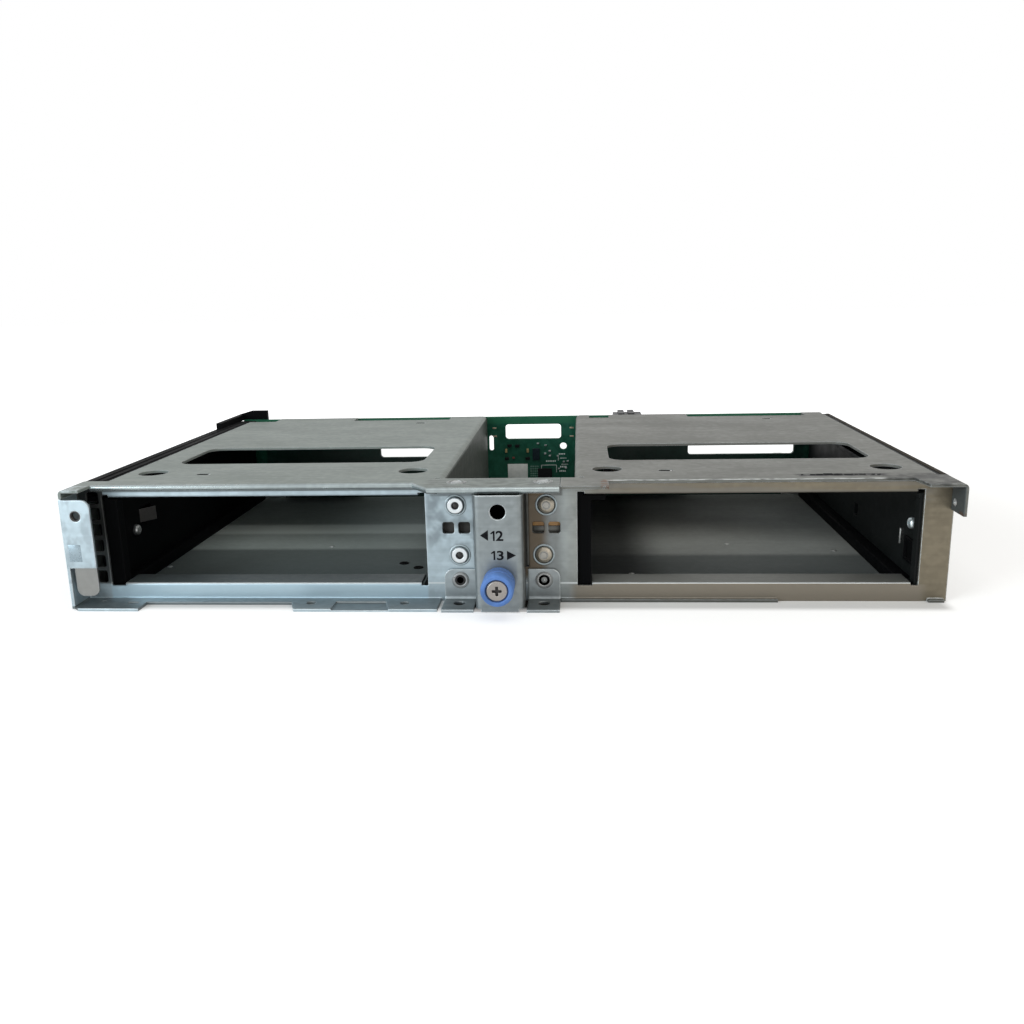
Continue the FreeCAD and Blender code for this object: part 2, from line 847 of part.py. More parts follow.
def lance(x, y):
    half = S.lance_length / 2
    return oblong(x - half, x + half, y, y, S.lance_radius)


def left_cover():
    """Top of the left bay, with a rolled front edge, the centre tongue and a rounded left wing."""
    body = new_body("left_cover")
    pad(
        body, "left_cover_plate", "XY", cover_low, S.sheet,
        outline(
            (-left_cover_left, cover_back - S.back_notch_deep), (-left_cover_left, S.notch_front),
            (-half_width, S.notch_front), (-half_width, -S.cover_reach),
            (-roll_left, -S.cover_reach), (-roll_left, -S.roll_reach),
            (-S.roll_right, -S.roll_reach), (-S.tongue_left, -S.cover_reach),
            (S.tongue_right, -S.cover_reach), (S.tongue_right, S.notch_front),
            (-S.left_cover_right, S.notch_front), (-S.left_cover_right, cover_back),
            (S.back_notch_corner - left_cover_left, cover_back),
            (S.back_notch_corner - left_cover_left, cover_back - S.back_notch_deep),
        ),
    )
    roll_low = S.cage_height - S.roll_drop
    pad(
        body, "left_roll", "XZ", -S.roll_reach, S.sheet,
        rectangle(-roll_left, -S.roll_right, roll_low, cover_low),
    )
    pad(
        body, "tongue_roll", "XZ", -S.cover_reach, S.sheet,
        rectangle(-S.tongue_left, S.tongue_right, roll_low, cover_low),
    )
    pad(
        body, "wing_roll", "YZ", -half_width, S.sheet,
        rectangle(-S.cover_reach, S.notch_front, wing_height + S.seat_gap, cover_low),
    )
    fillet(
        body, "roll_rounds", S.edge_round,
        (-bay_offset, -S.roll_reach, S.cage_height), (0.0, -S.cover_reach, S.cage_height),
    )
    fillet(body, "wing_round", S.roll_round, (-half_width, -S.cover_reach / 2, S.cage_height))
    channel_wall(body, "left_channel_wall", -S.left_cover_right, 1)
    cover_cuts(body, "left_cover_cuts", bays[0], S.back_notch_margin)
    pocket(
        body, "tongue_rivet_holes", "XY", cover_low, S.sheet,
        *[disc(x, -S.cover_rivet_line, S.cover_rivet_radius + S.hole_gap) for x in cover_rivet_places]
    )
    finish(body, "left_cover")


def right_cover():
    """Top of the right bay, with a plain front edge and an ear folded down at the right."""
    body = new_body("right_cover")
    tongue = S.tongue_right + S.seat_gap
    edge = -S.seat_gap
    wing_start = half_width - S.right_wing_width
    pad(
        body, "right_cover_plate", "XY", cover_low, S.sheet,
        outline(
            (S.right_cover_left, cover_back), (S.right_cover_left, S.notch_front),
            (tongue, S.notch_front), (tongue, -S.right_tongue_reach),
            (S.right_tongue_end, -S.right_tongue_reach), (S.right_tongue_end, edge),
            (wing_start, edge), (wing_start + S.right_wing_slant, -S.cover_reach),
            (half_width, -S.cover_reach), (half_width, S.notch_front),
            (right_cover_right, S.notch_front), (right_cover_right, cover_back),
        ),
    )
    pad(
        body, "right_ear", "YZ", half_width - S.sheet, S.sheet,
        rectangle(-S.cover_reach, edge, S.cage_height - S.right_ear_drop, cover_low),
    )
    fillet(body, "right_ear_bend", S.roll_round, (half_width, -S.cover_reach / 2, S.cage_height))
    channel_wall(body, "right_channel_wall", S.right_cover_left, -1)
    cover_cuts(body, "right_cover_cuts", bays[1], S.right_notch_margin)
    pocket(
        body, "small_rear_notch", "XY", cover_low, S.sheet,
        rectangle(
            S.small_notch_left, S.small_notch_right,
            cover_back - S.back_notch_shallow, cover_back + S.sheet,
        ),
    )
    pocket(
        body, "right_ear_hole", "YZ", half_width - S.sheet, S.sheet,
        disc(-S.right_ear_hole_line, S.cage_height - S.right_ear_hole_drop, S.right_ear_hole_radius),
    )
    finish(body, "right_cover")


def centre_bracket():
    """Hat section that stands proud of the front; its flanges lie behind the panel."""
    body = new_body("centre_bracket")
    outer = S.hat_half
    inner = S.hat_half - S.sheet
    flange = S.hat_half + S.hat_flange
    flange_back = S.sheet * 2
    face_back = S.sheet - S.hat_reach
    pad(
        body, "hat_section", "XY", S.hat_low, hat_high - S.hat_low,
        outline(
            (-flange, flange_back), (-flange, S.sheet), (-outer, S.sheet), (-outer, -S.hat_reach),
            (outer, -S.hat_reach), (outer, S.sheet), (flange, S.sheet), (flange, flange_back),
            (inner, flange_back), (inner, face_back), (-inner, face_back), (-inner, flange_back),
        ),
    )
    middle = (S.hat_low + hat_high) / 2
    fillet(
        body, "hat_outer_bends", S.bend + S.sheet,
        (-outer, -S.hat_reach, middle), (outer, -S.hat_reach, middle),
        (-inner, flange_back, middle), (inner, flange_back, middle),
    )
    fillet(
        body, "hat_inner_bends", S.bend, (-inner, face_back, middle), (inner, face_back, middle),
        (-outer, S.sheet, middle), (outer, S.sheet, middle),
    )
    pocket(
        body, "hat_foot_cut", "YZ", -flange - S.sheet, (flange + S.sheet) * 2,
        rectangle(-S.sheet - S.seat_gap, flange_back + S.sheet, 0.0, S.hat_flange_low),
    )
    pad(
        body, "hat_tongue", "XZ", -S.hat_reach, S.sheet,
        rectangle(-S.hat_tongue_half, S.hat_tongue_half, S.hat_tongue_low, S.hat_low + S.sheet),
    )
    pocket(
        body, "hat_face_holes", "XZ", -S.hat_reach, S.sheet,
        disc(0.0, S.cage_height - S.hat_hole_drop, S.hat_hole_radius),
        disc(0.0, S.screw_height, S.screw_hole_radius),
    )
    pocket(body, "hat_sight_holes", "XZ", S.sheet, S.sheet, *sight_holes())
    pocket(
        body, "hat_rivet_holes", "XZ", S.sheet, S.sheet,
        *[disc(x, z, S.rivet_radius + S.hole_gap) for x, z in rivet_places]
    )
    finish(body, "centre_bracket")


def foot(label, side):
    """L-shaped foot beside the bracket: an upright pad and a tab at floor level."""
    body = new_body(label)
    left, right = beside(side, S.foot_inner, S.foot_outer)
    outer = right if side > 0 else left
    middle = (left + right) / 2
    pad(body, label + "_pad", "XZ", -S.sheet, S.sheet, rectangle(left, right, 0.0, S.foot_height))
    pad(body, label + "_tab", "XY", 0.0, S.sheet, rectangle(left, right, -S.foot_reach, -S.sheet))
    fillet(body, label + "_outer_bend", S.bend + S.sheet, (middle, 0.0, 0.0))
    fillet(body, label + "_inner_bend", S.bend, (middle, -S.sheet, S.sheet))
    fillet(body, label + "_corner", S.foot_corner, (outer, -S.sheet / 2, S.foot_height))
    x = S.nut_offset * side
    nut_hole = disc(x, S.nut_height, S.nut_radius + S.hole_gap)
    pocket(body, label + "_nut_hole", "XZ", -S.sheet, S.sheet, nut_hole)
    pocket(body, label + "_tab_hole", "XY", 0.0, S.sheet, disc(x, -S.foot_hole_line, S.foot_hole_radius))
    finish(body, label)


def left_leaf():
    """Rounded leaf that hangs behind the left ear."""
    body = new_body("left_leaf")
    back = S.sheet - S.wing_reach
    left = S.leaf_inset - half_width
    right = left + S.leaf_width
    middle = back + S.leaf_thickness / 2
    pad(
        body, "leaf_plate", "XZ", back, S.leaf_thickness,
        rectangle(left, right, S.leaf_low, S.cage_height - S.leaf_drop),
    )
    fillet(body, "leaf_corners", S.leaf_corner, (left, middle, S.leaf_low), (right, middle, S.leaf_low))
    pocket(
        body, "leaf_hole", "XZ", back, S.leaf_thickness,
        disc(S.ear_hole_inset - half_width, ear_hole_height, S.ear_hole_radius),
    )
    finish(body, "left_leaf")


def thumbscrew():
    """Captive screw: moulded knob, pan-head screw and the ring behind the bracket's face."""
    knob_back = -S.hat_reach - S.knob_gap
    knob_front = knob_back - S.knob_length
    seat = knob_front + S.knob_recess
    bore = S.screw_radius + S.hole_gap / 2
    knob = turned(
        "thumbscrew_knob", "Y",
        (bore, knob_back), (S.knob_radius - S.knob_edge, knob_back),
        (S.knob_radius, knob_back - S.knob_edge),
        (S.knob_radius, knob_front + S.knob_edge), (S.knob_radius - S.knob_edge, knob_front),
        (S.knob_recess_radius, knob_front), (S.knob_recess_radius, seat), (bore, seat),
    )
    finish(knob, "thumbscrew_knob", z=S.screw_height)
    head_front = seat - S.screw_head
    ring_front = S.sheet - S.hat_reach + S.screw_travel + S.knob_gap
    ring_back = ring_front + S.ring_width
    tip = seat + S.screw_length
    screw = turned(
        "thumbscrew_screw", "Y",
        (0.0, head_front), (S.screw_head_radius - S.screw_head_edge, head_front),
        (S.screw_head_radius, head_front + S.screw_head_edge), (S.screw_head_radius, seat),
        (S.screw_radius, seat), (S.screw_radius, ring_back), (S.screw_thread_radius, ring_back),
        (S.screw_thread_radius, tip - S.screw_point),
        (S.screw_thread_radius - S.screw_point, tip), (0.0, tip),
    )
    finish(screw, "thumbscrew_screw", z=S.screw_height)
    ring = turned(
        "retaining_ring", "Y",
        (bore, ring_front), (S.ring_radius, ring_front), (S.ring_radius, ring_back), (bore, ring_back),
    )
    finish(ring, "retaining_ring", z=S.screw_height)


def outer_guide(label, side, post, strip):
    """Moulded wall beside a bay: rails for the tray, a front post, a top strip and ribs behind."""
    body = new_body(label)
    wall_outer = (half_width - S.guide_inset) * side
    wall = (half_width - S.guide_inset - S.plastic) * side
    ledge = (half_width - S.guide_inset - S.plastic - S.guide_ledge) * side
    steel = (half_width - S.sheet) * side
    low = S.sheet + S.bend
    web = wall_height - S.plastic
    pad(
        body, label + "_section", "XZ", S.guide_front, guide_back - S.guide_front,
        outline(
            (wall_outer, low + S.plastic), (wall_outer, web), (steel, web),
            (steel, wall_height), (wall, wall_height),
            (wall, ledge_high + S.plastic), (ledge, ledge_high + S.plastic),
            (ledge, ledge_high), (wall, ledge_high),
            (wall, S.guide_ledge_low + S.plastic), (ledge, S.guide_ledge_low + S.plastic),
            (ledge, S.guide_ledge_low), (wall, S.guide_ledge_low),
            (wall, low), (steel, low), (steel, low + S.plastic),
        ),
    )
    strip_front = S.notch_front + S.seat_gap
    pad(body, label + "_strip", "XZ", strip_front, guide_back - strip_front, strip)
    pad(
        body, label + "_post", "XZ", S.guide_front, S.guide_post_depth,
        outline(
            (wall, S.guide_post_low), (post, S.guide_post_low),
            (post, post_high), (wall, post_high),
        ),
    )
    rib = pad(
        body, label + "_rib", "XY", low, wall_height - low,
        outline(
            (wall_outer, S.guide_rib_first), (steel, S.guide_rib_first),
            (steel, S.guide_rib_first + S.guide_rib), (wall_outer, S.guide_rib_first + S.guide_rib),
        ),
    )
    row_of(body, label + "_ribs", rib, "V_Axis", S.guide_rib_span, S.guide_rib_count)
    return body


def left_guide():
    """Left bay wall with a wide top strip and the hook that holds the board's corner."""
    edge = -half_width
    inner = -left_cover_left - S.seat_gap
    strip = outline(
        (edge, wall_height), (edge, guide_top), (inner, guide_top), (inner, guide_top - S.plastic),
        (edge + S.plastic, guide_top - S.plastic), (edge + S.plastic, wall_height),
    )
    post = S.sill_notch - S.seat_gap * 2 - bay_width / 2 - bay_offset
    body = outer_guide("left_guide", -1, post, strip)
    steel = S.sheet - half_width
    line = S.guide_screw_left_line
    height = S.guide_screw_left_height
    pad(body, "left_boss", "YZ", steel, S.guide_inset - S.sheet, disc(line, height, S.guide_boss_radius))
    pocket(
        body, "left_boss_hole", "YZ", steel, S.guide_inset - S.sheet + S.plastic,
        disc(line, height, S.guide_screw_radius + S.hole_gap),
    )
    pocket(
        body, "left_guide_window", "YZ", S.guide_inset - half_width, S.plastic,
        rectangle(S.guide_window_front, S.guide_window_back, S.guide_window_low, S.guide_window_high),
    )
    bar = edge + S.hook_bar
    rib_top = guide_top + S.hook_rib_height
    arm_top = rib_top + S.hook_rise
    arm_low = arm_top - S.hook_arm
    arm_start = edge + S.hook_rise_span
    arm_end = edge + S.hook_span
    arm_front = board_back + S.seat_gap * 2
    arm_back = arm_front + S.hook_bar
    pad(
        body, "hook_rib", "XY", guide_top, S.hook_rib_height,
        rectangle(edge, bar, S.floor_depth - S.hook_setback, arm_back),
    )
    pad(
        body, "hook_arm", "XZ", arm_front, S.hook_bar,
        outline(
            (edge, guide_top), (edge, rib_top), (arm_start, arm_top),
            (arm_end, arm_top), (arm_end, arm_low),
            (arm_start + S.hook_tip, arm_low), (arm_start + S.hook_tip, S.cage_height - S.hook_tip_drop),
            (arm_start, S.cage_height - S.hook_tip_drop), (arm_start, guide_top),
        ),
    )
    finish(body, "left_guide")


def left_spring():
    """Steel finger that leans out of the left guide's window against the tray."""
    body = new_body("left_spring")
    root = S.guide_inset - half_width + S.hole_gap
    tip = root + S.spring_reach
    line = S.guide_window_front
    end = line + S.spring_run
    pad(
        body, "spring_leaf", "XY", S.spring_low, S.spring_high - S.spring_low,
        outline(
            (root, line), (root + S.spring_thickness, line),
            (tip + S.spring_thickness, end), (tip, end),
        ),
    )
    finish(body, "left_spring")


def right_guide():
    """Right bay wall with a top strip beside the cover and a slot for the tray's catch."""
    edge = half_width
    inner = right_cover_right + S.seat_gap
    strip = outline(
        (edge, wall_height), (edge, guide_top), (inner, guide_top), (inner, guide_top - S.plastic),
        (edge - S.plastic, guide_top - S.plastic), (edge - S.plastic, wall_height),
    )
    wall = half_width - S.guide_inset - S.plastic
    body = outer_guide("right_guide", 1, wall - S.right_post_reach, strip)
    line = S.guide_screw_right_line
    height = S.guide_screw_right_height
    pad(
        body, "right_boss", "YZ", half_width - S.guide_inset, S.guide_inset - S.sheet,
        disc(line, height, S.guide_boss_radius),
    )
    pocket(
        body, "right_boss_hole", "YZ", wall, S.guide_inset - S.sheet + S.plastic,
        disc(line, height, S.guide_screw_radius + S.hole_gap),
    )
    pocket(
        body, "right_guide_slot", "YZ", wall, S.plastic,
        rectangle(
            S.guide_slot_line - S.guide_slot_half, S.guide_slot_line + S.guide_slot_half,
            S.guide_slot_height - S.guide_slot_half, S.guide_slot_height + S.guide_slot_half,
        ),
    )
    finish(body, "right_guide")


def inner_guide(label, face, side):
    """Moulded lining of a channel wall with two rails; face is the wall, side points to the bay."""
    body = new_body(label)
    wall = face + S.plastic * side
    ledge = wall + S.guide_ledge * side
    pad(
        body, label + "_section", "XZ", S.guide_front, guide_back - S.guide_front,
        outline(
            (face, S.sheet), (wall, S.sheet), (wall, S.guide_ledge_low), (ledge, S.guide_ledge_low),
            (ledge, S.guide_ledge_low + S.plastic), (wall, S.guide_ledge_low + S.plastic),
            (wall, ledge_high), (ledge, ledge_high),
            (ledge, ledge_high + S.plastic), (wall, ledge_high + S.plastic),
            (wall, hat_high), (face, hat_high),
        ),
    )
    return body, wall


def inner_guides():
    """The left lining is plain; the right one has a front post and a fin under the lintel."""
    body, wall = inner_guide("left_inner_guide", -S.left_cover_right - S.sheet, -1)
    finish(body, "left_inner_guide")
    body, wall = inner_guide("right_inner_guide", S.right_cover_left + S.sheet, 1)
    post = bay_offset - bay_width / 2 + S.sill_notch - S.seat_gap * 2
    pad(
        body, "inner_post", "XZ", S.guide_front, S.guide_post_depth,
        rectangle(wall, post, S.guide_post_low, post_high),
    )
    pad(
        body, "inner_fin", "XZ", S.guide_front, S.guide_post_depth,
        rectangle(wall, wall + S.inner_fin, ledge_high, ledge_high + S.plastic),
    )
    finish(body, "right_inner_guide")


def backplane_board():
    """Circuit board across the back, with air windows, sight holes and its screw holes."""
    body = new_body("backplane_board")
    pad(
        body, "board_plate", "XZ", S.floor_depth, S.board_thickness,
        rectangle(
            S.board_left_inset - half_width, half_width - S.board_right_inset,
            S.board_low, S.cage_height - S.board_drop,
        ),
    )
    left_end = -S.centre_half - S.left_window_inset
    right_end = half_width - S.right_window_inset
    middle_low = window_high - S.middle_window_height
    pocket(
        body, "board_windows", "XZ", S.floor_depth, S.board_thickness,
        rounded(left_end - S.left_window_width, left_end, S.window_low, window_high, S.window_corner),
        rounded(-S.middle_window_left, S.middle_window_right, middle_low, window_high, S.window_corner),
        rounded(right_end - S.right_window_width, right_end, S.window_low, window_high, S.window_corner),
    )
    slot = -S.board_slot_x
    pocket(
        body, "board_holes", "XZ", S.floor_depth, S.board_thickness,
        disc(S.board_hole_x, S.board_hole_height, S.board_hole_radius),
        oblong(slot, slot, S.board_slot_low, S.board_slot_high, S.board_slot_radius),
        *[disc(x, S.lug_hole_height, S.board_screw_radius + S.hole_gap) for x in lug_places]
    )
    finish(body, "backplane_board")


def drive_connector(label, bay):
    """Socket on the front of the board, with a contact bar in its cavity."""
    body = new_body(label)
    middle = bay - S.socket_offset
    left = middle - S.socket_length / 2
    right = middle + S.socket_length / 2
    mouth = S.floor_depth - S.socket_depth
    centre = (S.socket_low + S.socket_high) / 2
    bar_end = S.socket_wall * 2
    pad(
        body, label + "_housing", "XZ", mouth, S.socket_depth,
        rectangle(left, right, S.socket_low, S.socket_high),
    )
    pocket(
        body, label + "_cavity", "XZ", mouth, S.socket_cavity,
        rectangle(
            left + S.socket_wall, right - S.socket_wall,
            S.socket_low + S.socket_wall, S.socket_high - S.socket_wall,
        ),
    )
    pad(
        body, label + "_bar", "XZ", mouth + S.sheet, S.socket_cavity - S.sheet,
        rectangle(left + bar_end, right - bar_end, centre - S.socket_bar / 2, centre + S.socket_bar / 2),
    )
    finish(body, label)


def power_connector():
    """Cable header behind the board, with two rows of cells."""
    body = new_body("power_connector")
    pad(
        body, "power_housing", "XZ", board_back, S.power_depth,
        rectangle(-S.power_left, -S.power_right, S.power_low, S.power_high),
    )
    edge = (S.power_high - S.power_low - S.power_cell * 2) / 3
    first = edge * 2 - S.power_left
    rows = [S.power_low + edge, S.power_high - edge - S.power_cell]
    cells = pocket(
        body, "power_cell", "XZ", board_back + S.power_depth - S.power_cell_depth, S.power_cell_depth,
        *[rectangle(first, first + S.power_cell, low, low + S.power_cell) for low in rows]
    )
    row_of(body, "power_cells", cells, "H_Axis", S.power_span, S.power_count)
    finish(body, "power_connector")


def signal_connector():
    """Upright cable socket behind the board, with two keys on top."""
    body = new_body("signal_connector")
    signal_low = signal_high - S.signal_height
    pad(
        body, "signal_housing", "XZ", board_back, S.signal_depth,
        rectangle(S.signal_left, S.signal_right, signal_low, signal_high),
    )
    pocket(
        body, "signal_mouth", "XZ", board_back + S.signal_depth - S.signal_cavity, S.signal_cavity,
        rectangle(
            S.signal_left + S.signal_wall, S.signal_right - S.signal_wall,
            signal_low + S.signal_wall, signal_high - S.signal_wall,
        ),
    )
    key = S.signal_left + S.signal_key_inset
    second = key + S.signal_key_width + S.signal_key_gap
    key_low = signal_high - S.signal_wall
    pad(
        body, "signal_keys", "XZ", board_back, S.signal_depth,
        rectangle(key, key + S.signal_key_width, key_low, signal_high + S.signal_key_height),
        rectangle(second, second + S.signal_key_width, key_low, signal_high + S.signal_key_height),
    )
    finish(body, "signal_connector")


def controller_chip():
    """Square chip on the front of the board, seen down the middle channel."""
    body = new_body("controller_chip")
    pad(
        body, "chip_block", "XZ", S.floor_depth - S.chip_thickness, S.chip_thickness,
        rectangle(S.chip_left, S.chip_left + S.chip_width, S.chip_low, S.chip_low + S.chip_height),
    )
    finish(body, "controller_chip")


def bracket_rivets():
    """Hollow rivets on the left of the bracket and solid ones on the right."""
    back = S.sheet * 2
    tail = back + S.rivet_tail
    hollow = []
    solid = []
    for x, z in rivet_places:
        if x.value < 0:
            name = "hollow_rivet_%d" % (len(hollow) + 1)
            rivet = turned(
                name, "Y", (S.rivet_bore, -S.rivet_head), (S.rivet_head_radius, -S.rivet_head),
                (S.rivet_head_radius, 0.0), (S.rivet_radius, 0.0), (S.rivet_radius, back),
                (S.rivet_tail_radius, back), (S.rivet_tail_radius, tail), (S.rivet_bore, tail),
            )
            hollow.append(rivet)
        else:
            name = "solid_rivet_%d" % (len(solid) + 1)
            rivet = turned(
                name, "Y", (0.0, -S.rivet_head), (S.rivet_radius, -S.rivet_head),
                (S.rivet_head_radius, -S.rivet_head / 3), (S.rivet_head_radius, 0.0), (S.rivet_radius, 0.0),
                (S.rivet_radius, back), (S.rivet_tail_radius, back),
                (S.rivet_tail_radius, tail), (0.0, tail),
            )
            solid.append(rivet)
        move(rivet, x=x, z=z)
    group("hollow_rivets", hollow)
    group("solid_rivets", solid)


def cover_rivets():
    """Flat rivets through the cover's tongue and the panel's top lugs."""
    low = cover_low - S.sheet
    rivets = []
    for x in cover_rivet_places:
        rivet = turned(
            "cover_rivet_%d" % (len(rivets) + 1), "Z",
            (0.0, low - S.cover_rivet_tail), (S.cover_rivet_tail_radius, low - S.cover_rivet_tail),
            (S.cover_rivet_tail_radius, low), (S.cover_rivet_radius, low),
            (S.cover_rivet_radius, S.cage_height),
            (S.cover_rivet_head_radius, S.cage_height),
            (S.cover_rivet_radius, S.cage_height + S.cover_rivet_head),
            (0.0, S.cage_height + S.cover_rivet_head),
        )
        move(rivet, x=x, y=-S.cover_rivet_line)
        rivets.append(rivet)
    group("cover_rivets", rivets)


def pad_fasteners():
    """Clinch nuts that join the feet to the panel, and the screw in the right one."""
    nut_front = -S.sheet - S.nut_proud
    nut_back = S.sheet + S.nut_flange
    nuts = []
    for x in nut_places:
        nut = turned(
            "pad_nut_%d" % (len(nuts) + 1), "Y", (S.nut_bore, nut_front), (S.nut_radius, nut_front),
            (S.nut_radius, S.sheet), (S.nut_flange_radius, S.sheet),
            (S.nut_flange_radius, nut_back), (S.nut_bore, nut_back),
        )
        move(nut, x=x, z=S.nut_height)
        nuts.append(nut)
    group("pad_nuts", nuts)
    shank = S.nut_bore - S.hole_gap
    tip = nut_front + S.pad_screw_sunk
    screw = turned(
        "pad_screw", "Y", (0.0, tip), (shank, tip), (shank, nut_back), (S.nut_flange_radius, nut_back),
        (S.nut_flange_radius, nut_back + S.nut_flange), (0.0, nut_back + S.nut_flange),
    )
    finish(screw, "pad_screw", x=S.nut_offset, z=S.nut_height)


def guide_screws():
    """Pan-head screws through the outer guides into the tray's walls."""
    head = half_width - S.guide_inset - S.plastic
    screws = []
    for side, line, height in (
        (-1, S.guide_screw_left_line, S.guide_screw_left_height),
        (1, S.guide_screw_right_line, S.guide_screw_right_height),
    ):
        name = "guide_screw_%d" % (len(screws) + 1)
        screw = turned(
            name, "X", (0.0, (head - S.guide_screw_head) * side),
            (S.guide_screw_head_radius * 0.8, (head - S.guide_screw_head) * side),
            (S.guide_screw_head_radius, (head - S.guide_screw_head / 2) * side),
            (S.guide_screw_head_radius, head * side), (S.guide_screw_radius, head * side),
            (S.guide_screw_radius, half_width * side), (0.0, half_width * side),
        )
        move(screw, y=line, z=height)
        screws.append(screw)
    group("guide_screws", screws)


def board_screws():
    """Screws that hold the board to the tray's rear lugs."""
    tip = board_back - S.board_screw_length
    screws = []
    for x in lug_places:
        screw = turned(
            "board_screw_%d" % (len(screws) + 1), "Y", (0.0, tip), (S.board_screw_radius, tip),
            (S.board_screw_radius, board_back), (S.board_screw_head_radius, board_back),
            (S.board_screw_head_radius, board_back + S.board_screw_head / 2),
            (S.board_screw_head_radius * 0.7, board_back + S.board_screw_head),
            (0.0, board_back + S.board_screw_head),
        )
        move(screw, x=x, z=S.lug_hole_height)
        screws.append(screw)
    group("board_screws", screws)


tray()
front_panel()
left_cover()
right_cover()
centre_bracket()
foot("left_foot", -1)
foot("right_foot", 1)
left_leaf()
thumbscrew()
left_guide()
left_spring()
right_guide()
inner_guides()
backplane_board()
drive_connector("left_drive_connector", bays[0])
drive_connector("right_drive_connector", bays[1])
power_connector()
signal_connector()
controller_chip()
bracket_rivets()
cover_rivets()
pad_fasteners()
guide_screws()
board_screws()
doc.recompute()

for item in doc.Objects:
    if "Invalid" in item.State or "Error" in item.State:
        raise RuntimeError("%s is %s" % (item.Label, item.State))
for part in sub_parts:
    if part.Shape.isNull() or not part.Shape.isValid():
        raise RuntimeError("%s has no valid shape" % part.Label)

os.makedirs("parts", exist_ok=True)
for part in sub_parts:
    part.Shape.exportStep("parts/%s.step" % part.Label)
    print(part.Label, len(part.Shape.Solids), round(part.Shape.Volume, 1))
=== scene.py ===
import math

import bmesh
import bpy
from mathutils import Matrix, Vector


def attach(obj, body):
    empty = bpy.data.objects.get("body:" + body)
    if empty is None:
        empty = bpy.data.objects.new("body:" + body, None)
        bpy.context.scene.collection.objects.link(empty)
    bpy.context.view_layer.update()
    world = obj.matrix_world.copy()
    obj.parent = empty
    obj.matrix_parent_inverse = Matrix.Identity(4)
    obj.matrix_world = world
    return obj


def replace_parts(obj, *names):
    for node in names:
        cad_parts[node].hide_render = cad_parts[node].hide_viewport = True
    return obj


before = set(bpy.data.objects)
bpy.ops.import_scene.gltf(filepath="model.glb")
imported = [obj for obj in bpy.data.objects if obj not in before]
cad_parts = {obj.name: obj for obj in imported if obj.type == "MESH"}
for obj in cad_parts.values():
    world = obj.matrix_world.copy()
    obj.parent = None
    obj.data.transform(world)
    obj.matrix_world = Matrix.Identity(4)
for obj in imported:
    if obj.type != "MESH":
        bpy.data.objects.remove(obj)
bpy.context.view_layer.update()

# Tray: the floor of the cage with its two side walls and the rear lugs for the board.
# One blank of galvanised steel sheet, punched and folded; the zinc keeps a soft spangle,
# streaks from the rolling mill, cut edges painted brighter, as bare zinc and as a painted highlight,
# and a few flattened weld dots on the floor.
MM = 0.001
EVEN = (1.0, 1.0, 1.0)


def add_node(tree, kind, inputs=None, **settings):
    """One shader node: settings are its own values, inputs are plain values or the sockets to link."""
    made = tree.nodes.new(kind)
    for name, value in settings.items():
        setattr(made, name, value)
    for name, value in (inputs or {}).items():
        if isinstance(value, bpy.types.NodeSocket):
            tree.links.new(value, made.inputs[name])
        else:
            made.inputs[name].default_value = value
    return made


def mix_colour(tree, factor, first, second, blend="MIX"):
    mixed = add_node(tree, "ShaderNodeMix", {0: factor, 6: first, 7: second},
                     data_type="RGBA", blend_type=blend)
    return mixed.outputs[2]


def calculate(tree, operation, first, second):
    return add_node(tree, "ShaderNodeMath", {0: first, 1: second}, operation=operation).outputs[0]


def remap(tree, value, low, high, to_low=0.0, to_high=1.0):
    inputs = {"Value": value, "From Min": low, "From Max": high, "To Min": to_low, "To Max": to_high}
    return add_node(tree, "ShaderNodeMapRange", inputs, interpolation_type="SMOOTHSTEP").outputs[0]


def place_on(tree, scale=EVEN):
    """Object coordinates, scaled per axis."""
    where = add_node(tree, "ShaderNodeTexCoord")
    mapping = add_node(tree, "ShaderNodeMapping", {"Vector": where.outputs["Object"], "Scale": scale})
    return mapping.outputs[0]


def speckle(tree, size_mm, detail=3.0, stretch=EVEN):
    """Noise whose grain is about size_mm across, drawn out by stretch along each axis."""
    scale = tuple(1.0 / (size_mm * MM * s) for s in stretch)
    inputs = {"Vector": place_on(tree, scale), "Scale": 1.0, "Detail": detail, "Roughness": 0.6}
    return add_node(tree, "ShaderNodeTexNoise", inputs).outputs["Fac"]


def new_group(name, inputs, outputs):
    """A shader node group with its sockets; returns the tree, its input node and its output node."""
    tree = bpy.data.node_groups.new(name, "ShaderNodeTree")
    for socket, kind in inputs:
        tree.interface.new_socket(socket, in_out="INPUT", socket_type=kind)
    for socket, kind in outputs:
        tree.interface.new_socket(socket, in_out="OUTPUT", socket_type=kind)
    return tree, tree.nodes.new("NodeGroupInput"), tree.nodes.new("NodeGroupOutput")


COLOUR, NUMBER, VECTOR = "NodeSocketColor", "NodeSocketFloat", "NodeSocketVector"

worn_and_highlit_edges, given, taken = new_group("worn and highlit edges", [("Radius", NUMBER)],
                                     [("Edge", NUMBER), ("Normal", VECTOR)])
rounded_normal = add_node(worn_and_highlit_edges, "ShaderNodeBevel", {"Radius": given.outputs["Radius"]}, samples=6)
own_normal = add_node(worn_and_highlit_edges, "ShaderNodeNewGeometry")
turned = add_node(worn_and_highlit_edges, "ShaderNodeVectorMath",
                  {0: rounded_normal.outputs[0], 1: own_normal.outputs["Normal"]}, operation="DOT_PRODUCT")
bare = remap(worn_and_highlit_edges, turned.outputs["Value"], 0.78, 0.995, 1.0, 0.0)
broken = remap(worn_and_highlit_edges, speckle(worn_and_highlit_edges, 3.0), 0.25, 0.6, 0.35, 1.0)
worn_and_highlit_edges.links.new(calculate(worn_and_highlit_edges, "MULTIPLY", bare, broken), taken.inputs["Edge"])
worn_and_highlit_edges.links.new(rounded_normal.outputs[0], taken.inputs["Normal"])

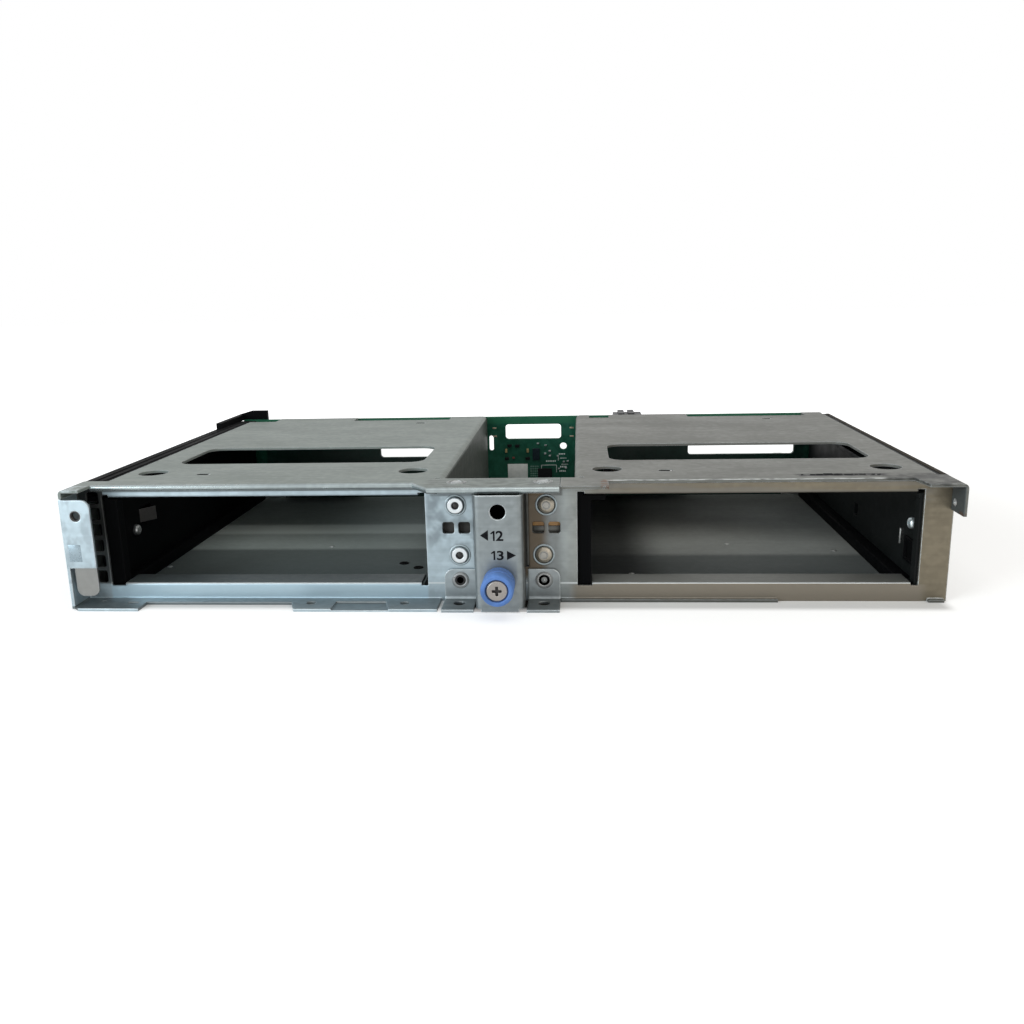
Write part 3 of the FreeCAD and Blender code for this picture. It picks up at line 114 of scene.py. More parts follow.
zinc, given, taken = new_group(
    "zinc sheet",
    [("Left Tone", COLOUR), ("Right Tone", COLOUR), ("Spangle", NUMBER), ("Rough", NUMBER)],
    [("Colour", COLOUR), ("Roughness", NUMBER), ("Height", NUMBER)])
# The tone shifts from the left tone to the right tone across X: a painted reflection, cool window light at
# the left end and a warm room at the right.
across = add_node(zinc, "ShaderNodeSeparateXYZ", {0: place_on(zinc)}).outputs["X"]
side = remap(zinc, across, -5.0 * MM, 45.0 * MM)
tone = mix_colour(zinc, side, given.outputs["Left Tone"], given.outputs["Right Tone"])
crystals = add_node(zinc, "ShaderNodeTexVoronoi",
                    {"Vector": place_on(zinc), "Scale": 620.0, "Smoothness": 0.9}, feature="SMOOTH_F1")
crystal = add_node(zinc, "ShaderNodeSeparateColor", {0: crystals.outputs["Color"]}).outputs[0]
clouds = speckle(zinc, 26.0, 4.0, (1.8, 1.0, 1.0))
streaks = speckle(zinc, 1.6, 2.0, (30.0, 1.0, 1.0))
grain = calculate(zinc, "ADD", calculate(zinc, "MULTIPLY", crystal, 0.22),
                  calculate(zinc, "ADD", calculate(zinc, "MULTIPLY", clouds, 0.9),
                            calculate(zinc, "MULTIPLY", streaks, 0.35)))
shade = remap(zinc, grain, 0.45, 1.05)
spread = calculate(zinc, "MULTIPLY", given.outputs["Spangle"], calculate(zinc, "SUBTRACT", shade, 0.5))
level = calculate(zinc, "ADD", spread, 1.0)
levels = add_node(zinc, "ShaderNodeCombineColor", {0: level, 1: level, 2: level}).outputs[0]
zinc.links.new(mix_colour(zinc, 1.0, tone, levels, "MULTIPLY"), taken.inputs["Colour"])
dulled = calculate(zinc, "MULTIPLY", calculate(zinc, "SUBTRACT", shade, 0.5), -0.14)
zinc.links.new(calculate(zinc, "ADD", given.outputs["Rough"], dulled), taken.inputs["Roughness"])
relief = calculate(zinc, "ADD", calculate(zinc, "MULTIPLY", streaks, 0.5), clouds)
zinc.links.new(relief, taken.inputs["Height"])


def new_material(name, metallic, specular):
    """A material with one Principled shader; returns the material, its tree and the shader."""
    material = bpy.data.materials.new(name)
    material.use_nodes = True
    shader = material.node_tree.nodes["Principled BSDF"]
    shader.inputs["Metallic"].default_value = metallic
    shader.inputs["Specular IOR Level"].default_value = specular
    return material, material.node_tree, shader


def fill_group(tree, group, inputs):
    """Place a node group in a tree with its own values."""
    placed = add_node(tree, "ShaderNodeGroup", node_tree=group)
    for name, value in inputs.items():
        placed.inputs[name].default_value = value
    return placed


def zinc_material(name, left, right, spangle=0.20, rough=0.40, edge=(0.52, 0.55, 0.56), wear_and_highlight_mm=0.45,
                  metallic=0.62, specular=0.5):
    """Galvanised sheet from its tone at the left end of the cage to its tone at the right end: the shift
    between the two is a painted reflection, and the edge colour is partly a painted highlight.
    """
    material, tree, shader = new_material(name, metallic, specular)
    sheet = fill_group(tree, zinc, {"Left Tone": (*left, 1.0), "Right Tone": (*right, 1.0),
                                    "Spangle": spangle, "Rough": rough})
    worn = fill_group(tree, worn_and_highlit_edges, {"Radius": wear_and_highlight_mm * MM})
    # Edges take the edge colour: partly worn zinc, partly a painted highlight along the edges.
    tree.links.new(mix_colour(tree, worn.outputs["Edge"], sheet.outputs["Colour"], (*edge, 1.0)),
                   shader.inputs["Base Color"])
    tree.links.new(sheet.outputs["Roughness"], shader.inputs["Roughness"])
    bump = add_node(tree, "ShaderNodeBump", {"Strength": 0.10, "Distance": 0.2 * MM,
                                             "Height": sheet.outputs["Height"],
                                             "Normal": worn.outputs["Normal"]})
    tree.links.new(bump.outputs[0], shader.inputs["Normal"])
    return material


def dress(material, *nodes):
    """Give the material to every slot of the named nodes of the frame."""
    for name in nodes:
        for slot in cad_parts[name].material_slots:
            slot.material = material


def band(tree, value, low, high, soft):
    """One inside the range from low to high in mm, fading over soft mm at each end."""
    rise = remap(tree, value, (low - soft) * MM, low * MM)
    fall = remap(tree, value, high * MM, (high + soft) * MM, 1.0, 0.0)
    return calculate(tree, "MULTIPLY", rise, fall)


def stain(material, colour, amount, flecks=None, **ranges):
    """Lay a colour over a finish inside ranges of X, Y and Z in mm (low, high, soft), broken by flecks."""
    tree = material.node_tree
    shader = tree.nodes["Principled BSDF"]
    plain = shader.inputs["Base Color"].links[0].from_socket
    spot = add_node(tree, "ShaderNodeSeparateXYZ", {0: place_on(tree)})
    mask = amount
    for axis, (low, high, soft) in ranges.items():
        mask = calculate(tree, "MULTIPLY", band(tree, spot.outputs[axis], low, high, soft), mask)
    if flecks:
        size_mm, low, high, stretch = flecks
        mask = calculate(tree, "MULTIPLY", mask, remap(tree, speckle(tree, size_mm, 2.0, stretch), low, high))
    tree.links.new(mix_colour(tree, mask, plain, (*colour, 1.0)), shader.inputs["Base Color"])


tray_zinc = zinc_material("tray zinc", (0.325, 0.375, 0.365), (0.33, 0.345, 0.33), 0.16, 0.62,
                          metallic=0.1, specular=0.15)
floor_skin = (0.5, 1.5, 0.1)
left_floor, right_floor = (-140.0, -22.0, 1.0), (26.0, 140.0, 1.0)
# Painted shade on the front of both bay floors and beside the right bay's inner post, and a painted band of
# light across the left bay floor.
stain(tray_zinc, (0.115, 0.138, 0.137), 0.88, X=left_floor, Y=(-82.0, -21.0, 5.0), Z=floor_skin)
stain(tray_zinc, (0.72, 0.80, 0.78), 0.7, X=left_floor, Y=(9.0, 20.0, 5.0), Z=floor_skin)
stain(tray_zinc, (0.125, 0.138, 0.135), 0.85, X=right_floor, Y=(-82.0, -31.0, 6.0), Z=floor_skin)
stain(tray_zinc, (0.012, 0.013, 0.013), 0.85, X=(26.0, 42.0, 20.0), Y=(-82.0, 80.0, 1.0), Z=floor_skin)
dress(tray_zinc, "tray")
bright_steel = zinc_material("bright steel", (0.62, 0.65, 0.66), (0.58, 0.58, 0.56), 0.12, 0.28)


def pick_faces(passes):
    """Select the faces of the piece in edit mode that pass the test, and no others."""
    mesh = bmesh.from_edit_mesh(bpy.context.object.data)
    bpy.ops.mesh.select_all(action="DESELECT")
    for face in mesh.faces:
        if passes(face):
            face.select_set(True)
    bmesh.update_edit_mesh(bpy.context.object.data)


def turn_up(profile, sides):
    """Round piece along Z: a cylinder whose top is extruded and resized along (radius, height) in mm."""
    (radius, low), (_, high) = profile[:2]
    bpy.ops.object.select_all(action="DESELECT")
    bpy.ops.mesh.primitive_cylinder_add(vertices=sides, radius=radius * MM, depth=(high - low) * MM,
                                        location=(0.0, 0.0, (high + low) / 2 * MM))
    bpy.ops.object.transform_apply(location=True, rotation=True, scale=True)
    bpy.ops.object.mode_set(mode="EDIT")
    pick_faces(lambda face: face.normal.z > 0.9)
    grown = profile[1][0] / radius
    bpy.ops.transform.resize(value=(grown, grown, 1.0))
    for (before, start), (after, end) in zip(profile[1:], profile[2:]):
        bpy.ops.mesh.extrude_region_move(TRANSFORM_OT_translate={"value": (0.0, 0.0, (end - start) * MM)})
        grown = after / before
        bpy.ops.transform.resize(value=(grown, grown, 1.0))
    bpy.ops.object.mode_set(mode="OBJECT")
    return bpy.context.object


def block_up(low, high, round_mm, segments=2):
    """Block between two corners in mm with its edges rounded."""
    bpy.ops.object.select_all(action="DESELECT")
    bpy.ops.mesh.primitive_cube_add(size=1.0, location=[(a + b) / 2 * MM for a, b in zip(low, high)],
                                    scale=[(b - a) * MM for a, b in zip(low, high)])
    bpy.ops.object.transform_apply(location=True, rotation=True, scale=True)
    bpy.ops.object.mode_set(mode="EDIT")
    bpy.ops.mesh.select_all(action="SELECT")
    bpy.ops.mesh.bevel(offset=round_mm * MM, segments=segments, affect="EDGES")
    bpy.ops.object.mode_set(mode="OBJECT")
    return bpy.context.object


FLAT, FACING_FRONT, FACING_BACK = (0.0, 0.0, 0.0), (90.0, 0.0, 0.0), (-90.0, 0.0, 0.0)
FACING_RIGHT, FACING_LEFT, TURNED_ROUND = (0.0, 90.0, 0.0), (0.0, -90.0, 0.0), (0.0, 0.0, 180.0)
smooth_below = math.radians(32.0)


def set_piece(piece, name, material, place=(0.0, 0.0, 0.0), turn=FLAT, body="cage"):
    """Turn a piece, set it at its place in mm with the place in its mesh, and name, dress and seat it."""
    bpy.ops.object.select_all(action="DESELECT")
    bpy.context.view_layer.objects.active = piece
    piece.select_set(True)
    piece.rotation_euler = [math.radians(angle) for angle in turn]
    piece.location = [x * MM for x in place]
    bpy.ops.object.transform_apply(location=True, rotation=True, scale=True)
    bpy.ops.object.shade_smooth_by_angle(angle=smooth_below)
    piece.name = name
    piece.data.name = name
    piece.data.materials.clear()
    piece.data.materials.append(material)
    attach(piece, body)
    return piece


def set_copies(first, name, material, stands):
    """Set a piece and its copies, each with a mesh of its own, at (place, turn) stands."""
    twins = [first]
    for _ in stands[1:]:
        twin = first.copy()
        twin.data = first.data.copy()
        bpy.context.scene.collection.objects.link(twin)
        twins.append(twin)
    for number, (twin, (place, turn)) in enumerate(zip(twins, stands), 1):
        set_piece(twin, "%s_%d" % (name, number), material, place, turn)
    return twins


def join_pieces(pieces, name):
    """Join finished pieces into one mesh; the first keeps its body and slot."""
    bpy.ops.object.select_all(action="DESELECT")
    for piece in pieces:
        piece.select_set(True)
    bpy.context.view_layer.objects.active = pieces[0]
    bpy.ops.object.join()
    joined = bpy.context.object
    joined.name = name
    joined.data.name = name
    return joined


floor_top = 1.0
weld_dots = [(-133.0, -42.9), (-76.3, -14.7), (85.5, -12.4), (125.2, -22.6), (45.1, -52.5)]
set_copies(turn_up([(1.1, 0.0), (1.1, 0.05), (0.9, 0.16), (0.45, 0.24)], 20), "weld_dot", bright_steel,
           [((x, y, floor_top), FLAT) for x, y in weld_dots])

# Front panel: the folded front with both bay openings, the perforated stile and the forward tabs.
# The same galvanised sheet, hooked over the tray and riveted to the centre bracket. Its left ear has
# a rolled thread in its hole and a patch of clear film.
panel_zinc = zinc_material("panel zinc", (0.40, 0.485, 0.53), (0.18, 0.155, 0.11), 0.34, 0.40,
                           (0.74, 0.80, 0.82), 0.6)
panel_front = -80.0
panel_face = (panel_front - 0.3, panel_front + 0.3, 0.2)
left_bay, right_bay = (-137.0, -26.0, 1.0), (26.0, 137.0, 1.0)
sill_shelf = {"Y": (-79.7, -69.0, 0.2), "Z": (5.0, 6.6, 0.2)}
# The sill's shelf is darker in the left bay, as painted shade, and a lighter grey in the right bay.
stain(panel_zinc, (0.09, 0.102, 0.102), 0.8, X=left_bay, **sill_shelf)
stain(panel_zinc, (0.26, 0.27, 0.26), 0.8, X=right_bay, **sill_shelf)
# Painted shade of the ear on the stile, darkest towards the top.
stile = {"X": (-145.5, -136.8, 0.3), "Y": (-80.3, -78.7, 0.2)}
stain(panel_zinc, (0.07, 0.072, 0.068), 0.85, **stile, Z=(6.6, 40.0, 1.0))
stain(panel_zinc, (0.02, 0.019, 0.017), 0.8, **stile, Z=(26.0, 40.0, 10.0))
# Painted shadow under the left cover's roll, along the top of the left opening.
stain(panel_zinc, (0.05, 0.055, 0.055), 0.75, X=(-138.0, -26.0, 1.0), Y=panel_face, Z=(38.9, 40.7, 0.3))
# Painted shadow under the centre tongue.
stain(panel_zinc, (0.05, 0.052, 0.05), 0.75, X=(-23.0, 20.0, 1.0), Y=panel_face, Z=(36.9, 40.7, 0.5))
stain(panel_zinc, (0.17, 0.205, 0.225), 0.75, (6.0, 0.38, 0.62, EVEN),
      X=(-24.0, -9.0, 2.0), Y=panel_face, Z=(23.0, 40.0, 8.0))
# Painted shade, grey and brown, on the face right of the bracket.
right_of_bracket = (10.0, 41.0, 4.0)
stain(panel_zinc, (0.12, 0.122, 0.118), 0.6, X=(8.0, 18.0, 4.0), Y=panel_face, Z=right_of_bracket)
stain(panel_zinc, (0.085, 0.055, 0.024), 0.85, X=(6.0, 13.0, 4.0), Y=panel_face, Z=right_of_bracket)
stain(panel_zinc, (0.165, 0.16, 0.145), 0.7, (9.0, 0.3, 0.6, (6.0, 1.0, 0.3)),
      X=(34.0, 137.0, 6.0), Y=panel_face, Z=(34.0, 41.0, 1.0))
# Painted light on the face of the sill: bright and bluish in the left bay, lighter and warm in the right bay.
sill = (0.0, 5.6, 0.4)
stain(panel_zinc, (0.43, 0.57, 0.65), 0.9, X=left_bay, Y=panel_face, Z=sill)
stain(panel_zinc, (0.221, 0.197, 0.16), 0.9, X=(26.0, 137.0, 4.0), Y=panel_face, Z=sill)
stain(panel_zinc, (0.25, 0.30, 0.33), 0.5, (4.0, 0.45, 0.62, (1.0, 1.0, 1.5)),
      X=(-147.0, -136.0, 0.5), Y=(-92.0, -89.5, 0.2), Z=(10.0, 42.0, 1.0))
stain(panel_zinc, (0.085, 0.095, 0.095), 0.75, Y=(-91.5, -80.6, 0.2), Z=(-0.5, 1.4, 0.1))
# Painted highlight along the top edge of the sill.
stain(panel_zinc, (0.66, 0.70, 0.71), 0.75, X=(-137.0, 137.0, 0.5), Y=(-80.3, -79.5, 0.1), Z=(6.1, 6.6, 0.1))
dress(panel_zinc, "front_panel")


def sleeve_up(outer, inner, length, pitch):
    """Threaded sleeve along Z, in mm: a cylinder with ridges cut down its bore and both ends closed."""
    turns = int(length / pitch)
    crest = inner + pitch * 0.45
    bore = []
    for step in range(turns):
        bore += [(inner, length - step * pitch), (crest, length - (step + 0.5) * pitch)]
    sleeve = turn_up([(outer, 0.0), (outer, length)] + bore + [(inner, 0.0)], 28)
    bpy.ops.object.mode_set(mode="EDIT")
    pick_faces(lambda face: abs(face.normal.z) > 0.9 and len(face.verts) > 4)
    bpy.ops.mesh.delete(type="FACE")
    bpy.ops.mesh.select_all(action="DESELECT")
    bpy.ops.mesh.select_non_manifold()
    bpy.ops.mesh.bridge_edge_loops()
    bpy.ops.mesh.select_all(action="SELECT")
    bpy.ops.mesh.normals_make_consistent(inside=False)
    bpy.ops.object.mode_set(mode="OBJECT")
    return sleeve


def plain_metal(name, tone, *finish, **more):
    """The finish of zinc_material in one tone from end to end."""
    return zinc_material(name, tone, tone, *finish, **more)


# Near black, partly as painted shade: the dark inside the ear's threaded hole and the hollow rivets' bores.
dark_steel = plain_metal("oiled steel with painted shade", (0.045, 0.043, 0.042), 0.2, 0.42, (0.20, 0.20, 0.20), 0.2)
set_piece(sleeve_up(1.84, 1.50, 1.75, 0.35), "ear_thread", dark_steel,
          (-141.3, -88.92, 32.9), FACING_FRONT)
set_piece(sleeve_up(1.34, 1.22, 0.9, 0.15), "right_ear_thread", bright_steel,
          (146.45, -82.8, 34.1), FACING_LEFT)


def two_tones(tree, shader, size_mm, low, high, dark, light):
    """Colour a shader in two tones that change over between low and high of a noise of size_mm."""
    flecks = remap(tree, speckle(tree, size_mm), low, high)
    tree.links.new(mix_colour(tree, flecks, (*dark, 1.0), (*light, 1.0)), shader.inputs["Base Color"])


clear_film, tree, shader = new_material("clear film", 0.5, 0.5)
two_tones(tree, shader, 6.0, 0.3, 0.7, (0.27, 0.35, 0.40), (0.30, 0.375, 0.42))
tree.links.new(remap(tree, speckle(tree, 1.5), 0.3, 0.7, 0.22, 0.36), shader.inputs["Roughness"])
set_piece(block_up((-145.0, -90.76, 17.2), (-140.8, -90.68, 23.1), 0.03), "ear_film", clear_film)

# Covers: the two folded tops over the bays, with finger slots, grip holes and the centre tongue.
# Galvanised sheet, matt and dark; the left one's front edge is rolled over, the right one
# is scraped. Each lanced slot has a lip pressed down at its end, and two clinches hold the tongue.
left_zinc = zinc_material("left cover zinc", (0.228, 0.257, 0.24), (0.14, 0.157, 0.147), 0.16, 0.46,
                          metallic=0.15, specular=0.15)
cover_skin = (41.0, 42.0, 0.1)
# Painted shade on the left wall of the centre channel.
stain(left_zinc, (0.045, 0.048, 0.044), 0.75, X=(-20.6, -19.4, 0.05), Z=(1.0, 40.6, 0.1))
# Painted highlight on the top of the left front corner, broken by flecks.
stain(left_zinc, (0.56, 0.62, 0.64), 0.75, (2.5, 0.35, 0.6, EVEN),
      X=(-147.0, -140.5, 1.0), Y=(-91.0, -84.0, 2.0), Z=cover_skin)
stain(left_zinc, (0.10, 0.11, 0.105), 0.6, (3.0, 0.35, 0.65, (1.6, 1.0, 1.0)),
      X=(-23.0, 20.0, 3.0), Y=(-91.0, -77.0, 2.0), Z=cover_skin)
dress(left_zinc, "left_cover")

right_zinc = zinc_material("right cover zinc", (0.176, 0.18, 0.165), (0.176, 0.178, 0.163), 0.26, 0.46,
                           metallic=0.15, specular=0.15)
stain(right_zinc, (0.004, 0.004, 0.004), 0.97, (1.1, 0.36, 0.44, (2.2, 1.0, 1.0)),
      X=(99.0, 125.0, 3.0), Y=(-76.2, -72.6, 0.5), Z=cover_skin)
# Bright specks along the front edge: bare scratches and a painted highlight.
stain(right_zinc, (0.66, 0.68, 0.66), 0.85, (0.8, 0.40, 0.55, (5.0, 1.0, 1.0)),
      X=(36.0, 128.0, 3.0), Y=(-80.3, -79.6, 0.2), Z=(41.5, 42.0, 0.05))
stain(right_zinc, (0.04, 0.04, 0.038), 0.8, (4.0, 0.36, 0.58, (1.5, 1.0, 1.0)),
      X=(126.0, 150.0, 3.0), Y=(-91.0, -74.0, 3.0), Z=cover_skin)
stain(right_zinc, (0.15, 0.065, 0.03), 0.75, (1.6, 0.42, 0.56, EVEN),
      X=(33.6, 36.6, 0.8), Y=(-90.5, -79.5, 0.5))
stain(right_zinc, (0.065, 0.076, 0.08), 0.85, X=(145.3, 145.7, 0.1), Z=(20.0, 40.6, 0.3))
stain(right_zinc, (0.13, 0.055, 0.025), 0.8, (1.5, 0.42, 0.55, EVEN),
      X=(145.3, 147.0, 0.1), Y=(-91.0, -87.0, 1.5), Z=(20.0, 31.0, 2.0))
dress(right_zinc, "right_cover")

cover_top = 41.7
roll_radius = 0.95
roll_height = cover_top - roll_radius
roll_line = [(-139.4, -81.95), (-29.0, -81.95), (-23.0, -90.15), (19.8, -90.15)]
bpy.ops.object.select_all(action="DESELECT")
bpy.ops.mesh.primitive_cylinder_add(
    vertices=20, radius=roll_radius * MM, depth=(roll_line[1][0] - roll_line[0][0]) * MM,
    location=((roll_line[0][0] + roll_line[1][0]) / 2 * MM, roll_line[0][1] * MM, roll_height * MM),
    rotation=(0.0, math.radians(90.0), 0.0))
bpy.ops.object.transform_apply(location=True, rotation=True, scale=True)
bpy.ops.object.mode_set(mode="EDIT")
pick_faces(lambda face: face.normal.x > 0.9)
for (left, front), (right, back) in zip(roll_line[1:], roll_line[2:]):
    onward = ((right - left) * MM, (back - front) * MM, 0.0)
    bpy.ops.mesh.extrude_region_move(TRANSFORM_OT_translate={"value": onward})
bpy.ops.object.mode_set(mode="OBJECT")
rolled_zinc = zinc_material("rolled zinc", (0.33, 0.375, 0.38), (0.30, 0.325, 0.32), 0.4, 0.30,
                            wear_and_highlight_mm=0.0, metallic=0.8)
set_piece(bpy.context.object, "left_cover_roll", rolled_zinc)

black_mark, tree, shader = new_material("black mark", 0.0, 0.05)
two_tones(tree, shader, 0.8, 0.35, 0.7, (0.008, 0.008, 0.010), (0.018, 0.018, 0.020))
shader.inputs["Roughness"].default_value = 0.8
scrape_line = -74.3
scrape_low, scrape_high = cover_top - 0.05, cover_top + 0.16
scrapes = []
for left, right, deep in ((99.0, 99.7, 0.5), (102.0, 103.6, 0.7), (103.9, 106.2, 1.2), (106.5, 109.4, 1.9),
                          (109.7, 112.4, 1.3), (112.9, 115.8, 0.7), (116.2, 117.3, 0.4), (117.7, 119.8, 0.7),
                          (121.7, 122.8, 0.5), (123.5, 124.6, 0.4)):
    scrape = block_up((left, scrape_line, scrape_low), (right, scrape_line + deep, scrape_high), 0.05, 1)
    scrapes.append(set_piece(scrape, "scrape", black_mark))
join_pieces(scrapes, "cover_scrapes")

lance_places = [(-106.9, -64.2), (55.7, -64.2), (-49.2, 59.0), (113.4, 59.0)]
# Painted shade inside each lanced slot.
for x, y in lance_places:
    stain(left_zinc if x < 0.0 else right_zinc, (0.01, 0.01, 0.01), 0.95,
          X=(x - 2.6, x + 2.6, 0.05), Y=(y - 1.3, y + 1.3, 0.05), Z=(40.0, 41.6, 0.03))
set_copies(block_up((1.5, -1.0, -0.75), (2.35, 1.0, -0.1), 0.2), "lance_lip", bright_steel,
           [((x, y, cover_top), FLAT) for x, y in lance_places])
set_copies(turn_up([(3.3, 0.0), (3.3, 0.04), (2.9, 0.22), (2.5, 0.22), (2.3, 0.05)], 32), "tongue_clinch",
           zinc_material("clinch zinc", (0.20, 0.21, 0.20), (0.18, 0.185, 0.175)),
           [((x, -81.6, cover_top), FLAT) for x in (-14.3, 14.3)])

# Centre bracket: the hat-shaped sheet between the bays, which carries the thumbscrew.
# Galvanised sheet with rounded folds, riveted to the panel through its two flanges; the bay numbers
# and their arrows are printed on its face in black, and films lie behind its sight holes.
bracket_zinc = zinc_material("bracket zinc", (0.235, 0.264, 0.272), (0.203, 0.207, 0.196), 0.36, 0.34,
                             (0.82, 0.87, 0.88), 0.7)
# Painted shade on the sides and inside of the hat, towards the panel.
stain(bracket_zinc, (0.075, 0.064, 0.048), 0.7, Y=(-86.0, -70.0, 5.5), Z=(1.0, 45.0, 0.5))
dress(bracket_zinc, "centre_bracket")

bracket_face = -92.3
ink_proud = 0.03


def fit_mark(piece, name, left, right, low, high):
    """Stretch a flat mark, drawn in X and Y, to its box on the bracket's face, in mm."""
    points = [vertex.co for vertex in piece.data.vertices]
    lowest = [min(point[axis] for point in points) for axis in range(3)]
    highest = [max(point[axis] for point in points) for axis in range(3)]
    box = ((right - left) * MM, (high - low) * MM, ink_proud * 2 * MM)
    piece.scale = [wide / (end - start) for wide, start, end in zip(box, lowest, highest)]
    place = (left - lowest[0] * piece.scale[0] / MM, bracket_face, low - lowest[1] * piece.scale[1] / MM)
    return set_piece(piece, name, black_mark, place, FACING_FRONT)


def number_up(words):
    """A figure drawn flat in Blender's own plain letters."""
    bpy.ops.object.select_all(action="DESELECT")
    bpy.ops.object.text_add()
    text = bpy.context.object
    text.data.body = words
    text.data.extrude = 0.02
    text.data.offset = 0.022
    bpy.ops.object.convert(target="MESH")
    return bpy.context.object


def one_up():
    """The figure 1 drawn flat: an upright stroke with a sloping flag at its top."""
    stroke = block_up((0.85, 0.0, -0.02), (1.42, 3.3, 0.02), 0.01, 1)
    flag = block_up((-0.62, -0.24, -0.02), (0.62, 0.24, 0.02), 0.01, 1)
    flag.rotation_euler.z = math.radians(40.0)
    flag.location = (0.62 * MM, 2.72 * MM, 0.0)
    bpy.ops.object.transform_apply(location=True, rotation=True, scale=True)
    return join_pieces([stroke, flag], "one")


def arrow_up(turn):
    """A flat triangle turned about Z by degrees."""
    bpy.ops.object.select_all(action="DESELECT")
    bpy.ops.mesh.primitive_cylinder_add(vertices=3, radius=1.0, depth=0.04,
                                        rotation=(0.0, 0.0, math.radians(turn)))
    bpy.ops.object.transform_apply(location=True, rotation=True, scale=True)
    bpy.ops.object.mode_set(mode="EDIT")
    pick_faces(lambda face: face.normal.z > 0.9)
    bpy.ops.mesh.inset(thickness=0.02)
    bpy.ops.object.mode_set(mode="OBJECT")
    return bpy.context.object


join_pieces([fit_mark(one_up(), "figure", -2.55, -1.10, 24.46, 27.79),
             fit_mark(number_up("2"), "figure", -0.78, 1.70, 24.46, 27.85)], "number_12")
join_pieces([fit_mark(one_up(), "figure", -2.50, -1.08, 18.08, 21.11),
             fit_mark(number_up("3"), "figure", -0.55, 1.65, 18.02, 21.17)], "number_13")
fit_mark(arrow_up(90.0), "arrow_left", -5.84, -3.25, 24.5, 28.1)
fit_mark(arrow_up(-90.0), "arrow_right", 2.73, 5.65, 18.05, 21.15)

amber_film, tree, shader = new_material("amber film", 0.1, 0.5)
two_tones(tree, shader, 4.0, 0.3, 0.7, (0.36, 0.17, 0.05), (0.55, 0.30, 0.11))
shader.inputs["Roughness"].default_value = 0.35
sight_front, sight_near, sight_far = -77.96, 10.3, 19.9
set_piece(block_up((sight_near, sight_front, 25.9), (sight_far, -77.7, 28.6), 0.05), "sight_film", amber_film)
set_piece(block_up((sight_near, sight_front, 22.8), (sight_far, -77.76, 25.8), 0.05), "sight_backing",
          zinc_material("backing zinc", (0.12, 0.12, 0.11), (0.13, 0.13, 0.12)))
screen_film = plain_metal("screen film", (0.075, 0.07, 0.067), 0.3, 0.6, metallic=0.0, specular=0.1)
set_piece(block_up((-sight_far, sight_front, 22.8), (-sight_near, -77.7, 28.6), 0.05), "sight_screen",
          screen_film)

# Feet: two small folded angles under the centre bracket, each with a pressed-in nut.
# Galvanised sheet; the right nut holds a short screw with a bright end.
foot_zinc = zinc_material("foot zinc", (0.31, 0.355, 0.375), (0.245, 0.25, 0.24), 0.36, 0.38,
                          (0.74, 0.80, 0.82), 0.6)
stain(foot_zinc, (0.10, 0.11, 0.11), 0.6, Y=(-92.0, -81.6, 0.2), Z=(-0.5, 1.3, 0.1))
dress(foot_zinc, "left_foot", "right_foot")
fastener_steel = zinc_material("fastener steel", (0.34, 0.35, 0.35), (0.24, 0.235, 0.225), 0.15, 0.33)
dress(fastener_steel, "pad_nuts", "pad_screw")
nut_side, nut_height = 14.2, 7.7
nut_zinc = zinc_material("nut zinc", (0.24, 0.255, 0.255), (0.22, 0.22, 0.21))
# Near black, partly as painted shade in the bore of the left nut.
thread_steel = plain_metal("thread steel", (0.035, 0.034, 0.033), 0.2, 0.5, (0.07, 0.068, 0.066), 0.2,
                           metallic=0.3, specular=0.2)
set_piece(sleeve_up(1.84, 1.15, 4.2, 0.7), "left_nut_thread", thread_steel,
          (-nut_side, -77.08, nut_height), FACING_FRONT)
set_piece(turn_up([(1.15, 0.0), (1.15, 0.2), (1.0, 0.34), (0.6, 0.40)], 24), "pad_screw_end", nut_zinc,
          (nut_side, -80.68, nut_height), FACING_FRONT)
set_piece(turn_up([(0.36, 0.0), (0.36, 0.1), (0.26, 0.2), (0.12, 0.24)], 16), "pad_screw_tip", bright_steel,
          (nut_side, -81.04, nut_height), FACING_FRONT)
set_copies(turn_up([(2.95, 0.0), (2.95, 0.1), (2.8, 0.22), (2.55, 0.22), (2.52, 0.0)], 32), "nut_collar",
           nut_zinc,
           [((x, panel_front - 1.0, nut_height), FACING_FRONT) for x in (-nut_side, nut_side)])

# Blind: the black moulded plate that closes the front of the centre channel behind the bracket, a dark sheet
# put there as painted shade for what shows through the bracket's hole.
# It stands on the tray's floor between the two channel walls, stiffened by a raised border.
blind = block_up((-19.4, -74.8, floor_top), (24.5, -74.1, 39.0), 0.15)
bpy.ops.object.mode_set(mode="EDIT")
pick_faces(lambda face: abs(face.normal.y) > 0.99)
bpy.ops.mesh.inset(thickness=1.6 * MM, depth=-0.2 * MM)
bpy.ops.object.mode_set(mode="OBJECT")


def moulded_material(name, colour, rough=0.6, worn=(0.010, 0.010, 0.011), specular=0.04):
    """Moulded plastic: a blotchy tone, edges rubbed to the worn colour and a fine eroded grain."""
    material, tree, shader = new_material(name, 0.0, specular)
    blotch = speckle(tree, 9.0, 4.0)
    shade = mix_colour(tree, remap(tree, blotch, 0.3, 0.7), (*colour, 1.0), (*(c * 1.5 for c in colour), 1.0))
    edge = fill_group(tree, worn_and_highlit_edges, {"Radius": 0.4 * MM})
    tree.links.new(mix_colour(tree, edge.outputs["Edge"], shade, (*worn, 1.0)), shader.inputs["Base Color"])
    tree.links.new(remap(tree, blotch, 0.3, 0.7, rough - 0.06, rough + 0.06), shader.inputs["Roughness"])
    eroded = add_node(tree, "ShaderNodeBump", {"Strength": 0.10, "Distance": 0.1 * MM,
                                               "Height": speckle(tree, 0.35, 2.0),
                                               "Normal": edge.outputs["Normal"]})
    tree.links.new(eroded.outputs[0], shader.inputs["Normal"])
    return material


